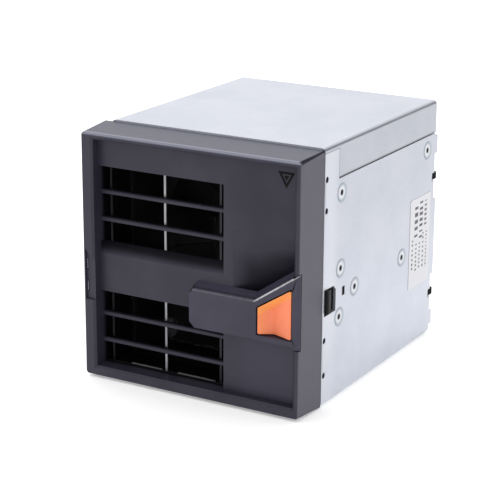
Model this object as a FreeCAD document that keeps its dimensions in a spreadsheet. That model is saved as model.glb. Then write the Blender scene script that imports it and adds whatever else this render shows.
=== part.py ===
import FreeCAD, Part
import Sketcher

import math
import os
from types import SimpleNamespace

# Hot-swap fan module for a server enclosure: a steel box with a moulded front,
# two 80 mm fans that turn opposite ways, and a side latch worked by a button.
#
# Every piece is modelled in the place it has in the module. X runs across the
# module from the middle of the steel box, Y runs back from the front face of the
# bezel's rim, and Z runs up from the underside of the box. Each piece's Placement
# then moves it forward, so that the origin is under the middle of the module.

doc = FreeCAD.newDocument("server_fan_module")
sheet = doc.addObject("Spreadsheet::Sheet", "sizes")

SIZES = {
    # steel box round two standard fans
    "fan_size": 80.0, "fan_depth": 25.4, "fan_front": 42.9, "side_room": 0.65,
    "pad_under": 1.5, "pad_over": 6.6, "steel": 1.0, "shell_front": 15.0, "rear_room": 9.1,
    "tab_long": 2.1, "cover_over": 0.2, "bend_outside": 2.0, "cover_bend": 1.6,
    "flap_tall": 11.8, "flap_front": 25.2, "flap_gap": 0.4, "seam_drop": 1.9,
    "sheet_gap": 0.1, "cover_tab_long": 6.8, "cover_tab_gap": 0.2, "cover_tab_hang": 5.0,
    # moulded bezel
    "rim_over": 1.7, "rim_under": 2.5, "rim_lift": 0.93, "rim_shift": -1.65,
    "rim_left": 4.1, "rim_right": 2.4, "rim_top": 2.5, "rim_bottom": 3.3,
    "rim_corner": 1.2, "rim_chamfer": 0.8,
    "bezel_depth": 14.9, "bezel_rear_over": 2.9, "bezel_rear_under": 0.75,
    "bezel_rear_lift": 0.05, "panel_setback": 4.0, "panel_wall": 3.1, 
    "top_panel": 9.8, "bar_slope": 3.8, "bar_step": 1.3, "bar_round": 1.6,
    "slat_pitch": 9.8, "slat_drop": 9.4, "low_slat_drop": 8.8, "slat_wall": 1.6,
    "slat_setback": 1.0, "slat_nose": 0.7, "cavity_depth": 13.5, "spigot_rear": 21.0,
    "spigot_wall": 1.6, "spigot_gap": 0.15, "cavity_top_wall": 2.6, "notch_depth": 0.6,
    "notch_slope": 3.7, "notch_lip": 0.5,
    # finger scoop in the panel above the handle
    "scoop_depth": 6.0, "scoop_wall": 1.4, "scoop_side_gap": 0.4, "scoop_under": 1.0,
    # pull handle
    "handle_end_gap": 0.05, "handle_bevel": 2.1, "handle_slant_bevel": 2.7,
    "handle_corner": 2.0, "handle_nick": 1.4, "handle_gap": 0.25, "handle_end": 1.1, "handle_end_drop": 0.9,
    "handle_end_bevel": 0.7,
    # release button
    "button_gap": 0.45, "button_front": 0.35, "button_body": 6.6, "button_lip": 1.2,
    "button_travel": 2.5, "thumb_depth": 2.3, "thumb_inset": 0.7, "thumb_crease": 5.0,
    "button_corner": 0.5, "button_root": 0.6, "button_tab": 5.0, "button_tab_end": 4.0, "stem_tip": 17.5,
    # latch slide with its hook
    "latch_travel": 1.8, "hook_reach": 1.3, "hook_front": 16.5, "hook_rear": 23.4,
    "slide_front": 13.4, "slide_rear": 24.0, "slide_gap": 0.3, "slide_arm_front": 15.3,
    "slot_rear": 21.6, "wedge_gap": 0.1, "spring_seat": 3.0,
    # latch housing and spring
    "housing_front": 11.9, "housing_rear": 30.6, "ear_gap": 0.6, "ear_thick": 5.0,
    "spring_radius": 2.2, "spring_wire": 0.35, "spring_coils": 5.5, "spring_seat_gap": 0.25,
    "spring_side_gap": 0.3, "mouth_gap": 1.0,
    # side wall cut-outs
    "window_front": 15.9, "window_rear": 24.2, "window_corner": 1.6, "slot_back": 29.8,
    "slot_wide": 1.2, "slot_tall": 2.8, "peg_back": 16.5, "peg_radius": 1.05,
    "snap_tall": 2.2, "snap_notch": 1.8, "snap_over": 1.6, "snap_clear": 0.4,
    # M3 countersunk screws through the walls
    "screw_radius": 1.5, "screw_head_radius": 2.95, "screw_fit": 0.05, "screw_seat_fit": 0.1,
    "screw_long": 6.0, "hex_key": 0.9, "hex_deep": 0.7, "locating_long": 2.6,
    "locating_deep": 0.1, "cover_screw_long": 2.6,
    # inlet guard stamped from steel, and the duct behind it
    "guard_wall": 0.5, "guard_rib": 0.8, "guard_side_rib": 2.95, "guard_side": 0.3,
    "guard_over": 2.8, "guard_lip": 0.9, "guard_lap": 4.0,
    "duct_wall": 1.2, "duct_gap": 0.3, "duct_side": 2.0,
    # fans
    "fan_corner": 3.5, "fan_wall": 1.8, "barrel_wall": 1.7, "flange": 4.0,
    "hole_inset": 4.25, "fan_hole": 2.2, "seat_radius": 19.5,
    "seat_thick": 3.0, "strut_width": 2.2, "strut_count": 5, "tube_radius": 4.6,
    "tube_setback": 6.2, "bearing_radius": 3.5, "bearing_wide": 3.0, "bearing_fit": 0.03,
    "bearing_inset": 0.4, "shaft_radius": 1.5, "shaft_cover": 1.0, "shaft_end": 3.4,
    "shaft_fit": 0.03, "hub_radius": 19.6, "hub_setback": 1.1, "hub_wall": 1.3,
    "hub_face": 1.9, "hub_gap": 5.7, "hub_round": 1.5, "boss_radius": 3.8, "boss_gap": 0.5,
    "yoke_wall": 1.0, "yoke_fit": 0.05, "yoke_short": 0.4, "magnet_wall": 1.8,
    "magnet_inset": 2.0, "tip_gap": 0.8, "blade_root_chord": 20.0, "blade_tip_chord": 27.0,
    "blade_root_pitch": 42.0, "blade_tip_pitch": 63.0, "blade_root_camber": 2.8,
    "blade_tip_camber": 2.2, "blade_wall": 1.3, "blade_extra": 3.0, "blade_shift": -1.9,
    "core_radius": 14.2, "core_half": 4.0, "core_place": 0.4, "tooth_width": 3.2,
    "tooth_root": 7.0, "tooth_tip": 12.4, "tooth_flare": 1.8, "coil_wall": 1.5,
    "core_fit": 0.04, "board_wall": 1.6, "board_radius": 17.0,
    # fan fixings
    "bolt_radius": 2.0, "bolt_head_radius": 3.6, "bolt_head_deep": 2.4, "nut_across": 7.0,
    "nut_deep": 3.2, "bolt_over": 3.3, "pad_long": 60.0, "pad_deep": 9.0, "pad_inset": 2.0,
    # control board and blind-mate connector
    "control_inset": 3.0, "control_back": 15.1, "control_over": 0.1, "spacer_radius": 2.0,
    "spacer_tall": 1.2, "spacer_inset": 5.0, "chip_size": 7.0, "chip_pitch": 15.0,
    "chip_wall": 1.4, "plug_nut_gap": 1.25, "plug_wide": 18.5, "plug_top_gap": 0.3,
    "plug_tall": 9.8, "plug_gap": 0.3, "plug_over": 3.2, "plug_wall": 1.5,
    "plug_back_wall": 2.5, "plug_corner": 0.8, "pin_width": 1.6, "pin_wall": 0.5,
    "pin_pitch": 3.2, "pin_reach": 3.3, "pin_short": 1.5, "pin_fit": 0.08,
    # rear finger guard
    "rear_gap": 0.4, "rear_side_gap": 1.45, "rear_setback": 3.8, "rear_wall": 4.0,
    "rear_bore_step": 0.2, "rear_ring": 1.6, "rear_ring_edge": 3.0, "rear_hub": 11.0,
    "rear_spoke": 2.0, "rear_ring_wall": 2.4, "collar_gap": 0.2, "collar_wall": 1.1,
    "plug_clear": 0.3, "arm_root": 0.8, "arm_gap": 0.25, "barb_gap": 0.1,
}

# heights above or below the waist, half-way up the bezel's rim
WAIST = {
    "bar_top": 4.2, "lower_top": -13.4, "notch_low": -16.1, "notch_high": 2.2,
    "scoop_top": 16.6, "handle_low": -18.83, "handle_top": -5.23, "handle_peak": 6.27,
    "button_low": -16.5, "button_short": -7.5, "button_tall": 0.5, "stem_low": -10.5,
    "stem_high": -6.1, "slide_low": -11.4, "slide_high": -3.6, "housing_low": -19.1,
    "housing_high": 4.7, "ear_low": -11.8, "ear_high": -4.0, "window_low": -12.5,
    "window_high": -3.3, "slot_height": -7.0, "snap_high": 16.6, "snap_low": -28.6,
    "peg_1": 34.6, "peg_2": 24.0, "peg_3": -21.1, "peg_4": -33.5,
    "tab_1": -41.3, "tab_2": -36.0, "tab_3": -21.4, "tab_4": 8.0, "tab_5": 25.4,
    "tab_6": 32.2, "latch_top_up": 1.6, "latch_back_up": -7.9, "latch_low_up": -15.5,
}

# places across the front, measured left from the inner face of the right wall
INWARD = {
    "handle_left": 42.0, "handle_kink": 16.7, "scoop_left": 27.2, "scoop_middle": 17.0,
    "button_left": 15.6, "button_right": 3.1, "stem_right": 4.8, "slide_left": 18.3,
    "wedge_left": 11.4, "slot_right": 2.5, "housing_left": 28.3, "channel_left": 26.4,
    "window_right": 30.8,
}


class Size:
    """A length that knows its number and the sheet formula that gives it."""

    def __init__(self, number, formula):
        self.number = float(number)
        self.formula = formula

    def _join(self, other, sign, number, swap=False):
        other = as_size(other)
        first, second = (other, self) if swap else (self, other)
        return Size(number(first.number, second.number),
                    "(%s %s %s)" % (first.formula, sign, second.formula))

    def __add__(self, other):
        return self._join(other, "+", lambda a, b: a + b)

    def __radd__(self, other):
        return self._join(other, "+", lambda a, b: a + b, swap=True)

    def __sub__(self, other):
        return self._join(other, "-", lambda a, b: a - b)

    def __rsub__(self, other):
        return self._join(other, "-", lambda a, b: a - b, swap=True)

    def __mul__(self, other):
        return self._join(other, "*", lambda a, b: a * b)

    def __rmul__(self, other):
        return self._join(other, "*", lambda a, b: a * b, swap=True)

    def __truediv__(self, other):
        return self._join(other, "/", lambda a, b: a / b)

    def __rtruediv__(self, other):
        return self._join(other, "/", lambda a, b: a / b, swap=True)

    def __neg__(self):
        return 0 - self


def as_size(value):
    return value if isinstance(value, Size) else Size(value, "%.6f" % value)


def fill_sheet():
    """Write every driving size into the sheet and return them by name."""
    names = SimpleNamespace()
    row = 0
    for table in (SIZES, WAIST, INWARD):
        for name, number in table.items():
            row += 1
            sheet.set("A%d" % row, name)
            sheet.set("B%d" % row, str(number))
            sheet.setAlias("B%d" % row, name)
            setattr(names, name, Size(number, "sizes." + name))
    doc.recompute()
    return names


mm = fill_sheet()


def bind(thing, prop, value):
    thing.setExpression(prop, as_size(value).formula)


# ---------------------------------------------------------------- sketch helpers

def new_body(label):
    body = doc.addObject("PartDesign::Body", label)
    body.Label = label
    return body


def origin_feature(body, role):
    return [f for f in body.Origin.OriginFeatures if f.Role == role][0]


def new_sketch(body, plane, offset):
    """Sketch on an origin plane, moved along that plane's normal by offset."""
    sketch = body.newObject("Sketcher::SketchObject", body.Label + "_sketch")
    sketch.AttachmentSupport = [(origin_feature(body, plane), "")]
    sketch.MapMode = "FlatFace"
    sketch.AttachmentOffset = FreeCAD.Placement(
        FreeCAD.Vector(0, 0, as_size(offset).number), FreeCAD.Rotation())
    bind(sketch, ".AttachmentOffset.Base.z", offset)
    return sketch


def facing(body, depth):
    """Sketch seen from the front, at a distance back from the rim."""
    return new_sketch(body, "XZ_Plane", -as_size(depth))


def sideways(body, across):
    """Sketch seen from the right: its first axis runs back, its second up."""
    return new_sketch(body, "YZ_Plane", across)


def level(body, height):
    """Sketch seen from above."""
    return new_sketch(body, "XY_Plane", height)


def place_point(sketch, geometry, point, across, up):
    for kind, value in (("DistanceX", across), ("DistanceY", up)):
        value = as_size(value)
        index = sketch.addConstraint(
            Sketcher.Constraint(kind, -1, 1, geometry, point, value.number))
        bind(sketch, "Constraints[%d]" % index, value)


def outline(sketch, points):
    """Closed outline through points; a third value on a point rounds that corner."""
    corners = [(as_size(p[0]), as_size(p[1]), as_size(p[2]) if len(p) > 2 else None)
               for p in points]
    count = len(corners)
    flat = [FreeCAD.Vector(c[0].number, c[1].number, 0) for c in corners]
    entries = []
    leaves = []
    arcs = {}
    for i in range(count):
        before = (flat[i - 1] - flat[i]).normalize()
        after = (flat[(i + 1) % count] - flat[i]).normalize()
        if corners[i][2] is None:
            entries.append(flat[i])
            leaves.append(flat[i])
            continue
        radius = corners[i][2].number
        half = before.getAngle(after) / 2
        reach = radius / math.tan(half)
        entries.append(flat[i] + before * reach)
        leaves.append(flat[i] + after * reach)
        middle = flat[i] + (before + after).normalize() * (radius / math.sin(half))
        arcs[i] = (middle, radius, before.cross(after).z < 0)
    lines = []
    for i in range(count):
        line = Part.LineSegment(leaves[i], entries[(i + 1) % count])
        lines.append(sketch.addGeometry(line, False))
    for i in range(count):
        incoming = lines[i - 1]
        outgoing = lines[i]
        if i not in arcs:
            sketch.addConstraint(Sketcher.Constraint("Coincident", incoming, 2, outgoing, 1))
            place_point(sketch, outgoing, 1, corners[i][0], corners[i][1])
            continue
        middle, radius, leftward = arcs[i]
        first, last = (entries[i], leaves[i]) if leftward else (leaves[i], entries[i])
        angles = [math.atan2(p.y - middle.y, p.x - middle.x) for p in (first, last)]
        circle = Part.Circle(middle, FreeCAD.Vector(0, 0, 1), radius)
        arc = sketch.addGeometry(Part.ArcOfCircle(circle, angles[0], angles[1]), False)
        start, end = (1, 2) if leftward else (2, 1)
        sketch.addConstraint(Sketcher.Constraint("Tangent", incoming, 2, arc, start))
        sketch.addConstraint(Sketcher.Constraint("Tangent", arc, end, outgoing, 1))
        index = sketch.addConstraint(Sketcher.Constraint("Radius", arc, radius))
        bind(sketch, "Constraints[%d]" % index, corners[i][2])
        corner = sketch.addGeometry(Part.Point(flat[i]), True)
        place_point(sketch, corner, 1, corners[i][0], corners[i][1])
        sketch.addConstraint(Sketcher.Constraint("PointOnObject", corner, 1, incoming))
        sketch.addConstraint(Sketcher.Constraint("PointOnObject", corner, 1, outgoing))
    return sketch


def rectangle(sketch, left, right, low, high, corner=None):
    points = [(left, low), (right, low), (right, high), (left, high)]
    if corner is not None:
        points = [point + (corner,) for point in points]
    return outline(sketch, points)


def circle(sketch, across, up, radius):
    radius = as_size(radius)
    middle = FreeCAD.Vector(as_size(across).number, as_size(up).number, 0)
    ring = sketch.addGeometry(Part.Circle(middle, FreeCAD.Vector(0, 0, 1), radius.number), False)
    place_point(sketch, ring, 3, across, up)
    index = sketch.addConstraint(Sketcher.Constraint("Radius", ring, radius.number))
    bind(sketch, "Constraints[%d]" % index, radius)
    return sketch


def pad(body, sketch, length, backward=False):
    """Grow a sketch along its plane's normal: forward, to the right or up."""
    feature = body.newObject("PartDesign::Pad", body.Label + "_pad")
    feature.Profile = sketch
    bind(feature, "Length", length)
    feature.Reversed = backward
    return feature


def pocket(body, sketch, length=None, backward=False):
    """Cut against the plane's normal: back, to the left or down."""
    feature = body.newObject("PartDesign::Pocket", body.Label + "_pocket")
    feature.Profile = sketch
    if length is None:
        feature.Type = "ThroughAll"
    else:
        bind(feature, "Length", length)
    feature.Reversed = backward
    return feature


def cut_both_ways(body, sketch):
    """Cut right through on both sides of the sketch."""
    feature = pocket(body, sketch)
    feature.Midplane = True
    return feature


def loft(body, kind, sketches, ruled=False):
    feature = body.newObject("PartDesign::" + kind, body.Label + "_loft")
    feature.Profile = sketches[0]
    feature.Sections = sketches[1:]
    feature.Ruled = ruled
    return feature


def turned(body, kind, sketch, axis="Y_Axis"):
    """Revolution or Groove of a half profile about an origin axis."""
    feature = body.newObject("PartDesign::" + kind, body.Label + "_turn")
    feature.Profile = sketch
    feature.ReferenceAxis = (origin_feature(body, axis), [""])
    feature.Angle = 360.0
    return feature


def polar(body, features, count, axis="Y_Axis"):
    pattern = body.newObject("PartDesign::PolarPattern", body.Label + "_polar")
    pattern.Originals = features
    pattern.Axis = (origin_feature(body, axis), [""])
    pattern.Angle = 360.0
    bind(pattern, "Occurrences", count)
    body.Tip = pattern
    return pattern


PIECES = []


def finish(piece, label, across=0.0, back=0.0, up=0.0, turn=0.0, axis=(0, 0, 1)):
    """Put a finished piece in its place in the module and list it for export."""
    piece.Label = label
    piece.Placement = FreeCAD.Placement(
        FreeCAD.Vector(0, 0, 0), FreeCAD.Rotation(FreeCAD.Vector(*axis), turn))
    bind(piece, ".Placement.Base.x", across)
    bind(piece, ".Placement.Base.y", as_size(back) - module_middle)
    bind(piece, ".Placement.Base.z", up)
    PIECES.append(piece)
    return piece


# ---------------------------------------------------------------- shared places

box_width = mm.fan_size + 2 * (mm.steel + mm.side_room)
box_height = mm.fan_size + 2 * mm.steel + mm.pad_under + mm.pad_over
half_box = box_width / 2
inside = half_box - mm.steel
under_cover = box_height - mm.steel
fan_middle = mm.fan_front + mm.fan_depth
fan_rear = mm.fan_front + 2 * mm.fan_depth
fan_height = mm.steel + mm.pad_under + mm.fan_size / 2
fan_low = fan_height - mm.fan_size / 2
fan_high = fan_height + mm.fan_size / 2
fan_bore = mm.fan_size / 2 - mm.fan_wall
wall_rear = fan_rear + mm.rear_room
tab_rear = wall_rear + mm.tab_long
snap_end = tab_rear + mm.snap_over
snap_notch = wall_rear - mm.snap_notch
module_middle = snap_end / 2
flap_bottom = box_height - mm.flap_tall
seam_height = box_height - mm.seam_drop

rim_width = box_width + mm.rim_over
rim_height = box_height - mm.rim_under
rim_x = mm.rim_shift - rim_width / 2
rim_right_x = rim_x + rim_width
rim_inner_left = rim_x + mm.rim_left
rim_inner_right = rim_right_x - mm.rim_right
rim_inner_low = mm.rim_lift + mm.rim_bottom
rim_inner_high = mm.rim_lift + rim_height - mm.rim_top
upper_top = rim_inner_high - mm.top_panel
panel_back = mm.panel_setback + mm.panel_wall
waist = mm.rim_lift + rim_height / 2
at = SimpleNamespace(**{name: waist + getattr(mm, name) for name in WAIST})
across = SimpleNamespace(**{name: inside - getattr(mm, name) for name in INWARD})
window_right = across.window_right
window_wide = window_right - rim_inner_left
rear_fan_middle = fan_middle + mm.fan_depth / 2
ear_rear = mm.fan_front - mm.ear_gap
button_slope = (at.button_tall - at.button_short) / (across.button_right - across.button_left)
handle_right = rim_right_x - mm.handle_end_gap
handle_slant = (at.handle_peak - at.handle_top) / (handle_right - across.handle_kink)
control_high = fan_high + mm.spacer_tall + mm.board_wall
control_rear = fan_rear + mm.control_over
plug_low = under_cover - mm.plug_top_gap - mm.plug_tall
plug_front = fan_rear + mm.plug_gap
rear_front = fan_rear + mm.rear_setback
rear_high = under_cover - mm.rear_gap
rear_bore = fan_bore - mm.rear_bore_step
hole_pitch = mm.fan_size - 2 * mm.hole_inset
plug_left = mm.nut_across / 2 + mm.plug_nut_gap - hole_pitch / 2
plug_right = plug_left + mm.plug_wide
SIDES = {"right": 1, "left": -1}

# screw places on the side walls: distance back and height
screw_height = flap_bottom - 5.6
SCREWS = {
    "cover_front": (mm.flap_front + 2.0, screw_height),
    "cover_rear": (wall_rear - 6.9, screw_height),
    "latch_top": (mm.housing_rear - 3.2, at.latch_top_up),
    "latch_back": (ear_rear - 4.0, at.latch_back_up),
    "latch_low": (mm.housing_rear - 3.7, at.latch_low_up),
    "fan_side": (rear_fan_middle - 4.8, fan_height - 5.5),
}


# ---------------------------------------------------------------- steel box

def make_chassis_shell():
    """Floor and two side walls bent from one sheet, with notched rear edges."""
    body = new_body("chassis_shell")
    profile = facing(body, mm.shell_front)
    inner = mm.bend_outside - mm.steel
    outline(profile, [
        (-half_box, seam_height), (-half_box, 0, mm.bend_outside),
        (half_box, 0, mm.bend_outside), (half_box, seam_height),
        (inside, seam_height), (inside, mm.steel, inner),
        (-inside, mm.steel, inner), (-inside, seam_height)])
    pad(body, profile, tab_rear - mm.shell_front, backward=True)

    # the walls stop short under the cover's side flaps
    step = sideways(body, 0)
    rectangle(step, mm.flap_front - mm.sheet_gap, tab_rear + 1,
              flap_bottom - mm.flap_gap, box_height)
    cut_both_ways(body, step)

    # rear edge: three tabs stay, with notches for the rear guard's snaps
    rear = sideways(body, 0)
    end = tab_rear + 1
    for low, high in ((-1, at.tab_1), (at.tab_2, at.tab_3), (at.tab_4, at.tab_5),
                      (at.tab_6, box_height)):
        rectangle(rear, wall_rear, end, low, high)
    cut_both_ways(body, rear)
    snaps = sideways(body, 0)
    for height in (at.snap_high, at.snap_low):
        reach = mm.snap_tall / 2 + mm.snap_clear
        rectangle(snaps, snap_notch, end, height - reach, height + reach)
    cut_both_ways(body, snaps)

    # right wall: latch window, slot and the holes for the bezel's pegs
    right = sideways(body, half_box)
    outline(right, [
        (mm.window_front, at.window_low), (mm.window_rear, at.window_low),
        (mm.window_rear, at.window_high - mm.window_corner),
        (mm.window_rear - mm.window_corner, at.window_high),
        (mm.window_front, at.window_high)])
    rectangle(right, mm.slot_back - mm.slot_wide / 2, mm.slot_back + mm.slot_wide / 2,
              at.slot_height - mm.slot_tall / 2, at.slot_height + mm.slot_tall / 2)
    for height in (at.peg_1, at.peg_2, at.peg_3, at.peg_4):
        circle(right, mm.peg_back, height, mm.peg_radius)
    pocket(body, right, 2 * mm.steel)

    # countersunk screw holes
    doc.recompute()
    wall_screws = {"right": list(SCREWS), "left": ["cover_front", "cover_rear", "fan_side"]}
    for side, sign in SIDES.items():
        holes = sideways(body, sign * half_box)
        for name in wall_screws[side]:
            back, height = SCREWS[name]
            circle(holes, back, height, mm.screw_radius)
        doc.recompute()
        hole = body.newObject("PartDesign::Hole", "chassis_shell_holes_" + side)
        hole.Profile = holes
        hole.Threaded = False
        hole.DepthType = "Dimension"
        hole.DrillPoint = "Flat"
        hole.HoleCutType = "Countersink"
        hole.HoleCutCountersinkAngle = 90.0
        bind(hole, "Depth", 2 * mm.steel)
        bind(hole, "Diameter", 2 * (mm.screw_radius + mm.screw_seat_fit))
        bind(hole, "HoleCutDiameter", 2 * (mm.screw_head_radius + mm.screw_seat_fit))
        hole.Reversed = sign < 0
    finish(body, "chassis_shell")


def make_top_cover():
    """Sheet cover whose side flaps lie flush with the walls and step in under them."""
    body = new_body("top_cover")
    profile = facing(body, mm.shell_front)
    inner = mm.cover_bend - mm.steel
    outline(profile, [
        (-half_box, flap_bottom), (-inside, flap_bottom), (-inside, under_cover, inner),
        (inside, under_cover, inner), (inside, flap_bottom), (half_box, flap_bottom),
        (half_box, box_height, mm.cover_bend), (-half_box, box_height, mm.cover_bend)])
    pad(body, profile, wall_rear + mm.cover_over - mm.shell_front, backward=True)
    front = sideways(body, 0)
    rectangle(front, mm.shell_front - 1, mm.flap_front, flap_bottom - 1,
              seam_height + mm.sheet_gap)
    cut_both_ways(body, front)

    tab_out = inside - mm.sheet_gap
    web_top = flap_bottom + 2 * mm.steel
    tab_low = screw_height - mm.cover_tab_hang
    tabs = (("cover_front", mm.flap_front + mm.cover_tab_gap),
            ("cover_rear", SCREWS["cover_rear"][0] - 1.6))
    for name, near in tabs:
        back, height = SCREWS[name]
        far = near + mm.cover_tab_long
        for sign in SIDES.values():
            tab = sideways(body, sign * (tab_out - mm.steel))
            rectangle(tab, near, far, tab_low, web_top)
            pad(body, tab, mm.steel, backward=sign < 0)
            web = sideways(body, sign * (tab_out - mm.steel))
            rectangle(web, near, far, flap_bottom + mm.flap_gap + 0.7, web_top)
            pad(body, web, 1.5 * mm.steel, backward=sign < 0)
        holes = sideways(body, 0)
        circle(holes, back, height, mm.screw_radius + mm.screw_fit)
        cut_both_ways(body, holes)
    finish(body, "top_cover")


def make_wall_screws(label, places, long):
    """Countersunk hexalobular screws, one for each place, as one group."""
    solids = []
    for side, name in places:
        sign = SIDES[side]
        back, height = SCREWS[name]
        head = doc.addObject("Part::Cone", "%s_%s_%s_head" % (label, side, name))
        bind(head, "Radius1", mm.screw_head_radius)
        bind(head, "Radius2", mm.screw_head_radius - mm.steel)
        bind(head, "Height", mm.steel)
        shank = doc.addObject("Part::Cylinder", "%s_%s_%s_shank" % (label, side, name))
        bind(shank, "Radius", mm.screw_radius)
        bind(shank, "Height", long)
        drive = doc.addObject("Part::Prism", "%s_%s_%s_drive" % (label, side, name))
        drive.Polygon = 6
        bind(drive, "Circumradius", mm.hex_key)
        bind(drive, "Height", mm.hex_deep)
        turn = FreeCAD.Rotation(FreeCAD.Vector(0, 1, 0), -90.0 * sign)
        for shape in (head, shank, drive):
            shape.Placement = FreeCAD.Placement(FreeCAD.Vector(0, 0, 0), turn)
            bind(shape, ".Placement.Base.x", sign * half_box)
            bind(shape, ".Placement.Base.y", back)
            bind(shape, ".Placement.Base.z", height)
        whole = doc.addObject("Part::MultiFuse", "%s_%s_%s_whole" % (label, side, name))
        whole.Shapes = [head, shank]
        cut = doc.addObject("Part::Cut", "%s_%s_%s" % (label, side, name))
        cut.Base = whole
        cut.Tool = drive
        solids.append(cut)
    group = doc.addObject("Part::Compound", label)
    group.Links = solids
    finish(group, label)


# ---------------------------------------------------------------- moulded front

def make_front_bezel():
    """One moulding: flared rim, sunk panel, slatted windows, scoop and rear spigot."""
    body = new_body("front_bezel")
    front = facing(body, 0)
    rectangle(front, rim_x, rim_right_x, mm.rim_lift, mm.rim_lift + rim_height,
              mm.rim_corner)
    rear = facing(body, mm.bezel_depth)
    rear_half = (box_width + mm.bezel_rear_over) / 2
    rectangle(rear, mm.rim_shift - rear_half, mm.rim_shift + rear_half, mm.bezel_rear_lift,
              mm.bezel_rear_lift + box_height - mm.bezel_rear_under, mm.rim_corner / 2)
    loft(body, "AdditiveLoft", [front, rear], ruled=True)

    spigot_half = inside - mm.spigot_gap
    spigot_low = mm.steel + mm.spigot_gap
    spigot_high = box_height - mm.steel - mm.spigot_gap
    spigot = facing(body, mm.bezel_depth)
    rectangle(spigot, -spigot_half, spigot_half, spigot_low, spigot_high, mm.cover_bend)
    pad(body, spigot, mm.spigot_rear - mm.bezel_depth, backward=True)

    # hollow from behind: a wide cavity back to the panel, narrower through the spigot
    hollow_half = spigot_half - mm.spigot_wall
    hollow_low = spigot_low + mm.spigot_wall
    hollow_high = spigot_high - mm.cavity_top_wall
    wide = facing(body, mm.cavity_depth)
    rectangle(wide, rim_inner_left, hollow_half, rim_inner_low, hollow_high)
    pocket(body, wide, mm.cavity_depth - panel_back, backward=True)
    narrow = facing(body, mm.spigot_rear)
    rectangle(narrow, -hollow_half, hollow_half, hollow_low, hollow_high)
    pocket(body, narrow, mm.spigot_rear - mm.cavity_depth, backward=True)

    # gap in the spigot's right wall for the latch slide
    gap = sideways(body, inside)
    rectangle(gap, mm.bezel_depth, mm.spigot_rear + 1, at.slide_low - mm.slide_gap,
              at.slide_high + mm.slide_gap)
    pocket(body, gap, mm.spigot_gap + mm.spigot_wall + mm.slide_gap)

    # holes in the spigot behind those in the right wall
    pegs = sideways(body, inside)
    for height in (at.peg_1, at.peg_2, at.peg_3, at.peg_4):
        circle(pegs, mm.peg_back, height, mm.peg_radius)
    pocket(body, pegs, mm.spigot_gap + mm.spigot_wall + mm.slide_gap)

    # solid back of the finger scoop, inside the wide cavity
    sections = []
    for place, share in ((across.scoop_left, 0.02), (across.scoop_middle, 1.0),
                         (hollow_half, 1.0)):
        low = scoop_bottom(place) - mm.scoop_wall
        deep = share * (mm.scoop_depth + mm.scoop_wall - mm.panel_wall)
        section = sideways(body, place)
        outline(section, [
            (panel_back - 0.5, low), (panel_back + deep, low),
            (panel_back + 0.7 * deep, at.scoop_top - 3 * mm.scoop_wall),
            (panel_back - 0.5, at.scoop_top)])
        sections.append(section)
    loft(body, "AdditiveLoft", sections, ruled=True)

    # sunk front with a chamfered edge all round
    chamfer = []
    for depth in (as_size(0), mm.rim_chamfer):
        grow = mm.rim_chamfer - depth
        edge = facing(body, depth)
        rectangle(edge, rim_inner_left - grow, rim_inner_right + grow,
                  rim_inner_low - grow, rim_inner_high + grow)
        chamfer.append(edge)
    loft(body, "SubtractiveLoft", chamfer, ruled=True)
    sunk = facing(body, 0)
    rectangle(sunk, rim_inner_left, rim_inner_right, rim_inner_low, rim_inner_high)
    pocket(body, sunk, mm.panel_setback)

    # two windows, and the rounded slope of the bar between them
    windows = facing(body, mm.panel_setback)
    rectangle(windows, rim_inner_left, window_right, at.bar_top, upper_top)
    rectangle(windows, rim_inner_left, window_right, rim_inner_low, at.lower_top)
    pocket(body, windows, mm.panel_wall)
    slope = sideways(body, window_right)
    outline(slope, [
        (mm.panel_setback, at.bar_top - mm.bar_slope),
        (mm.panel_setback + mm.bar_step, at.bar_top - mm.bar_step, mm.bar_round),
        (panel_back, at.bar_top), (mm.panel_setback, at.bar_top)])
    pocket(body, slope, window_wide)

    # slats with rounded noses
    slats = sideways(body, rim_inner_left)
    nose = mm.panel_setback + mm.slat_setback
    heights = (upper_top - mm.slat_drop, upper_top - mm.slat_drop - mm.slat_pitch,
               at.lower_top - mm.low_slat_drop, at.lower_top - mm.low_slat_drop - mm.slat_pitch)
    for height in heights:
        low = height - mm.slat_wall / 2
        high = height + mm.slat_wall / 2
        outline(slats, [(nose, low, mm.slat_nose), (panel_back, low), (panel_back, high),
                        (nose, high, mm.slat_nose)])
    pad(body, slats, window_wide)

    # finger scoop: a hollow that grows deeper downwards and to the right
    sections = []
    for place, share in ((across.scoop_left, 0.01), (across.scoop_middle, 1.0),
                         (rim_inner_right - mm.scoop_side_gap, 1.0)):
        low = scoop_bottom(place)
        deep = share * mm.scoop_depth
        section = sideways(body, place)
        outline(section, [
            (mm.panel_setback, low), (mm.panel_setback + deep, low),
            (mm.panel_setback + 0.38 * deep, at.scoop_top - 0.4 * (at.scoop_top - low)),
            (mm.panel_setback, at.scoop_top)])
        sections.append(section)
    loft(body, "SubtractiveLoft", sections)

    # opening for the button and its stem, through the panel
    opening = facing(body, mm.panel_setback)
    outline(opening, button_outline(mm.button_gap))
    pocket(body, opening, mm.panel_wall)

    # the right rim is cut back a little for the end of the handle
    seat = facing(body, 0)
    rectangle(seat, rim_inner_right - 0.1, rim_right_x + 3,
              at.handle_low - mm.handle_end_drop - mm.handle_gap,
              at.handle_peak + mm.handle_gap)
    pocket(body, seat, mm.handle_end + mm.handle_gap)

    # shallow recess in the left rim at the height of the handle
    recess = facing(body, 0)
    outline(recess, [
        (rim_x + mm.notch_lip, at.notch_low), (rim_inner_left + 0.1, at.notch_low),
        (rim_inner_left + 0.1, at.notch_high - mm.notch_slope),
        (rim_x + mm.notch_lip, at.notch_high)])
    pocket(body, recess, mm.rim_chamfer + mm.notch_depth - 0.6)
    finish(body, "front_bezel")


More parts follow.
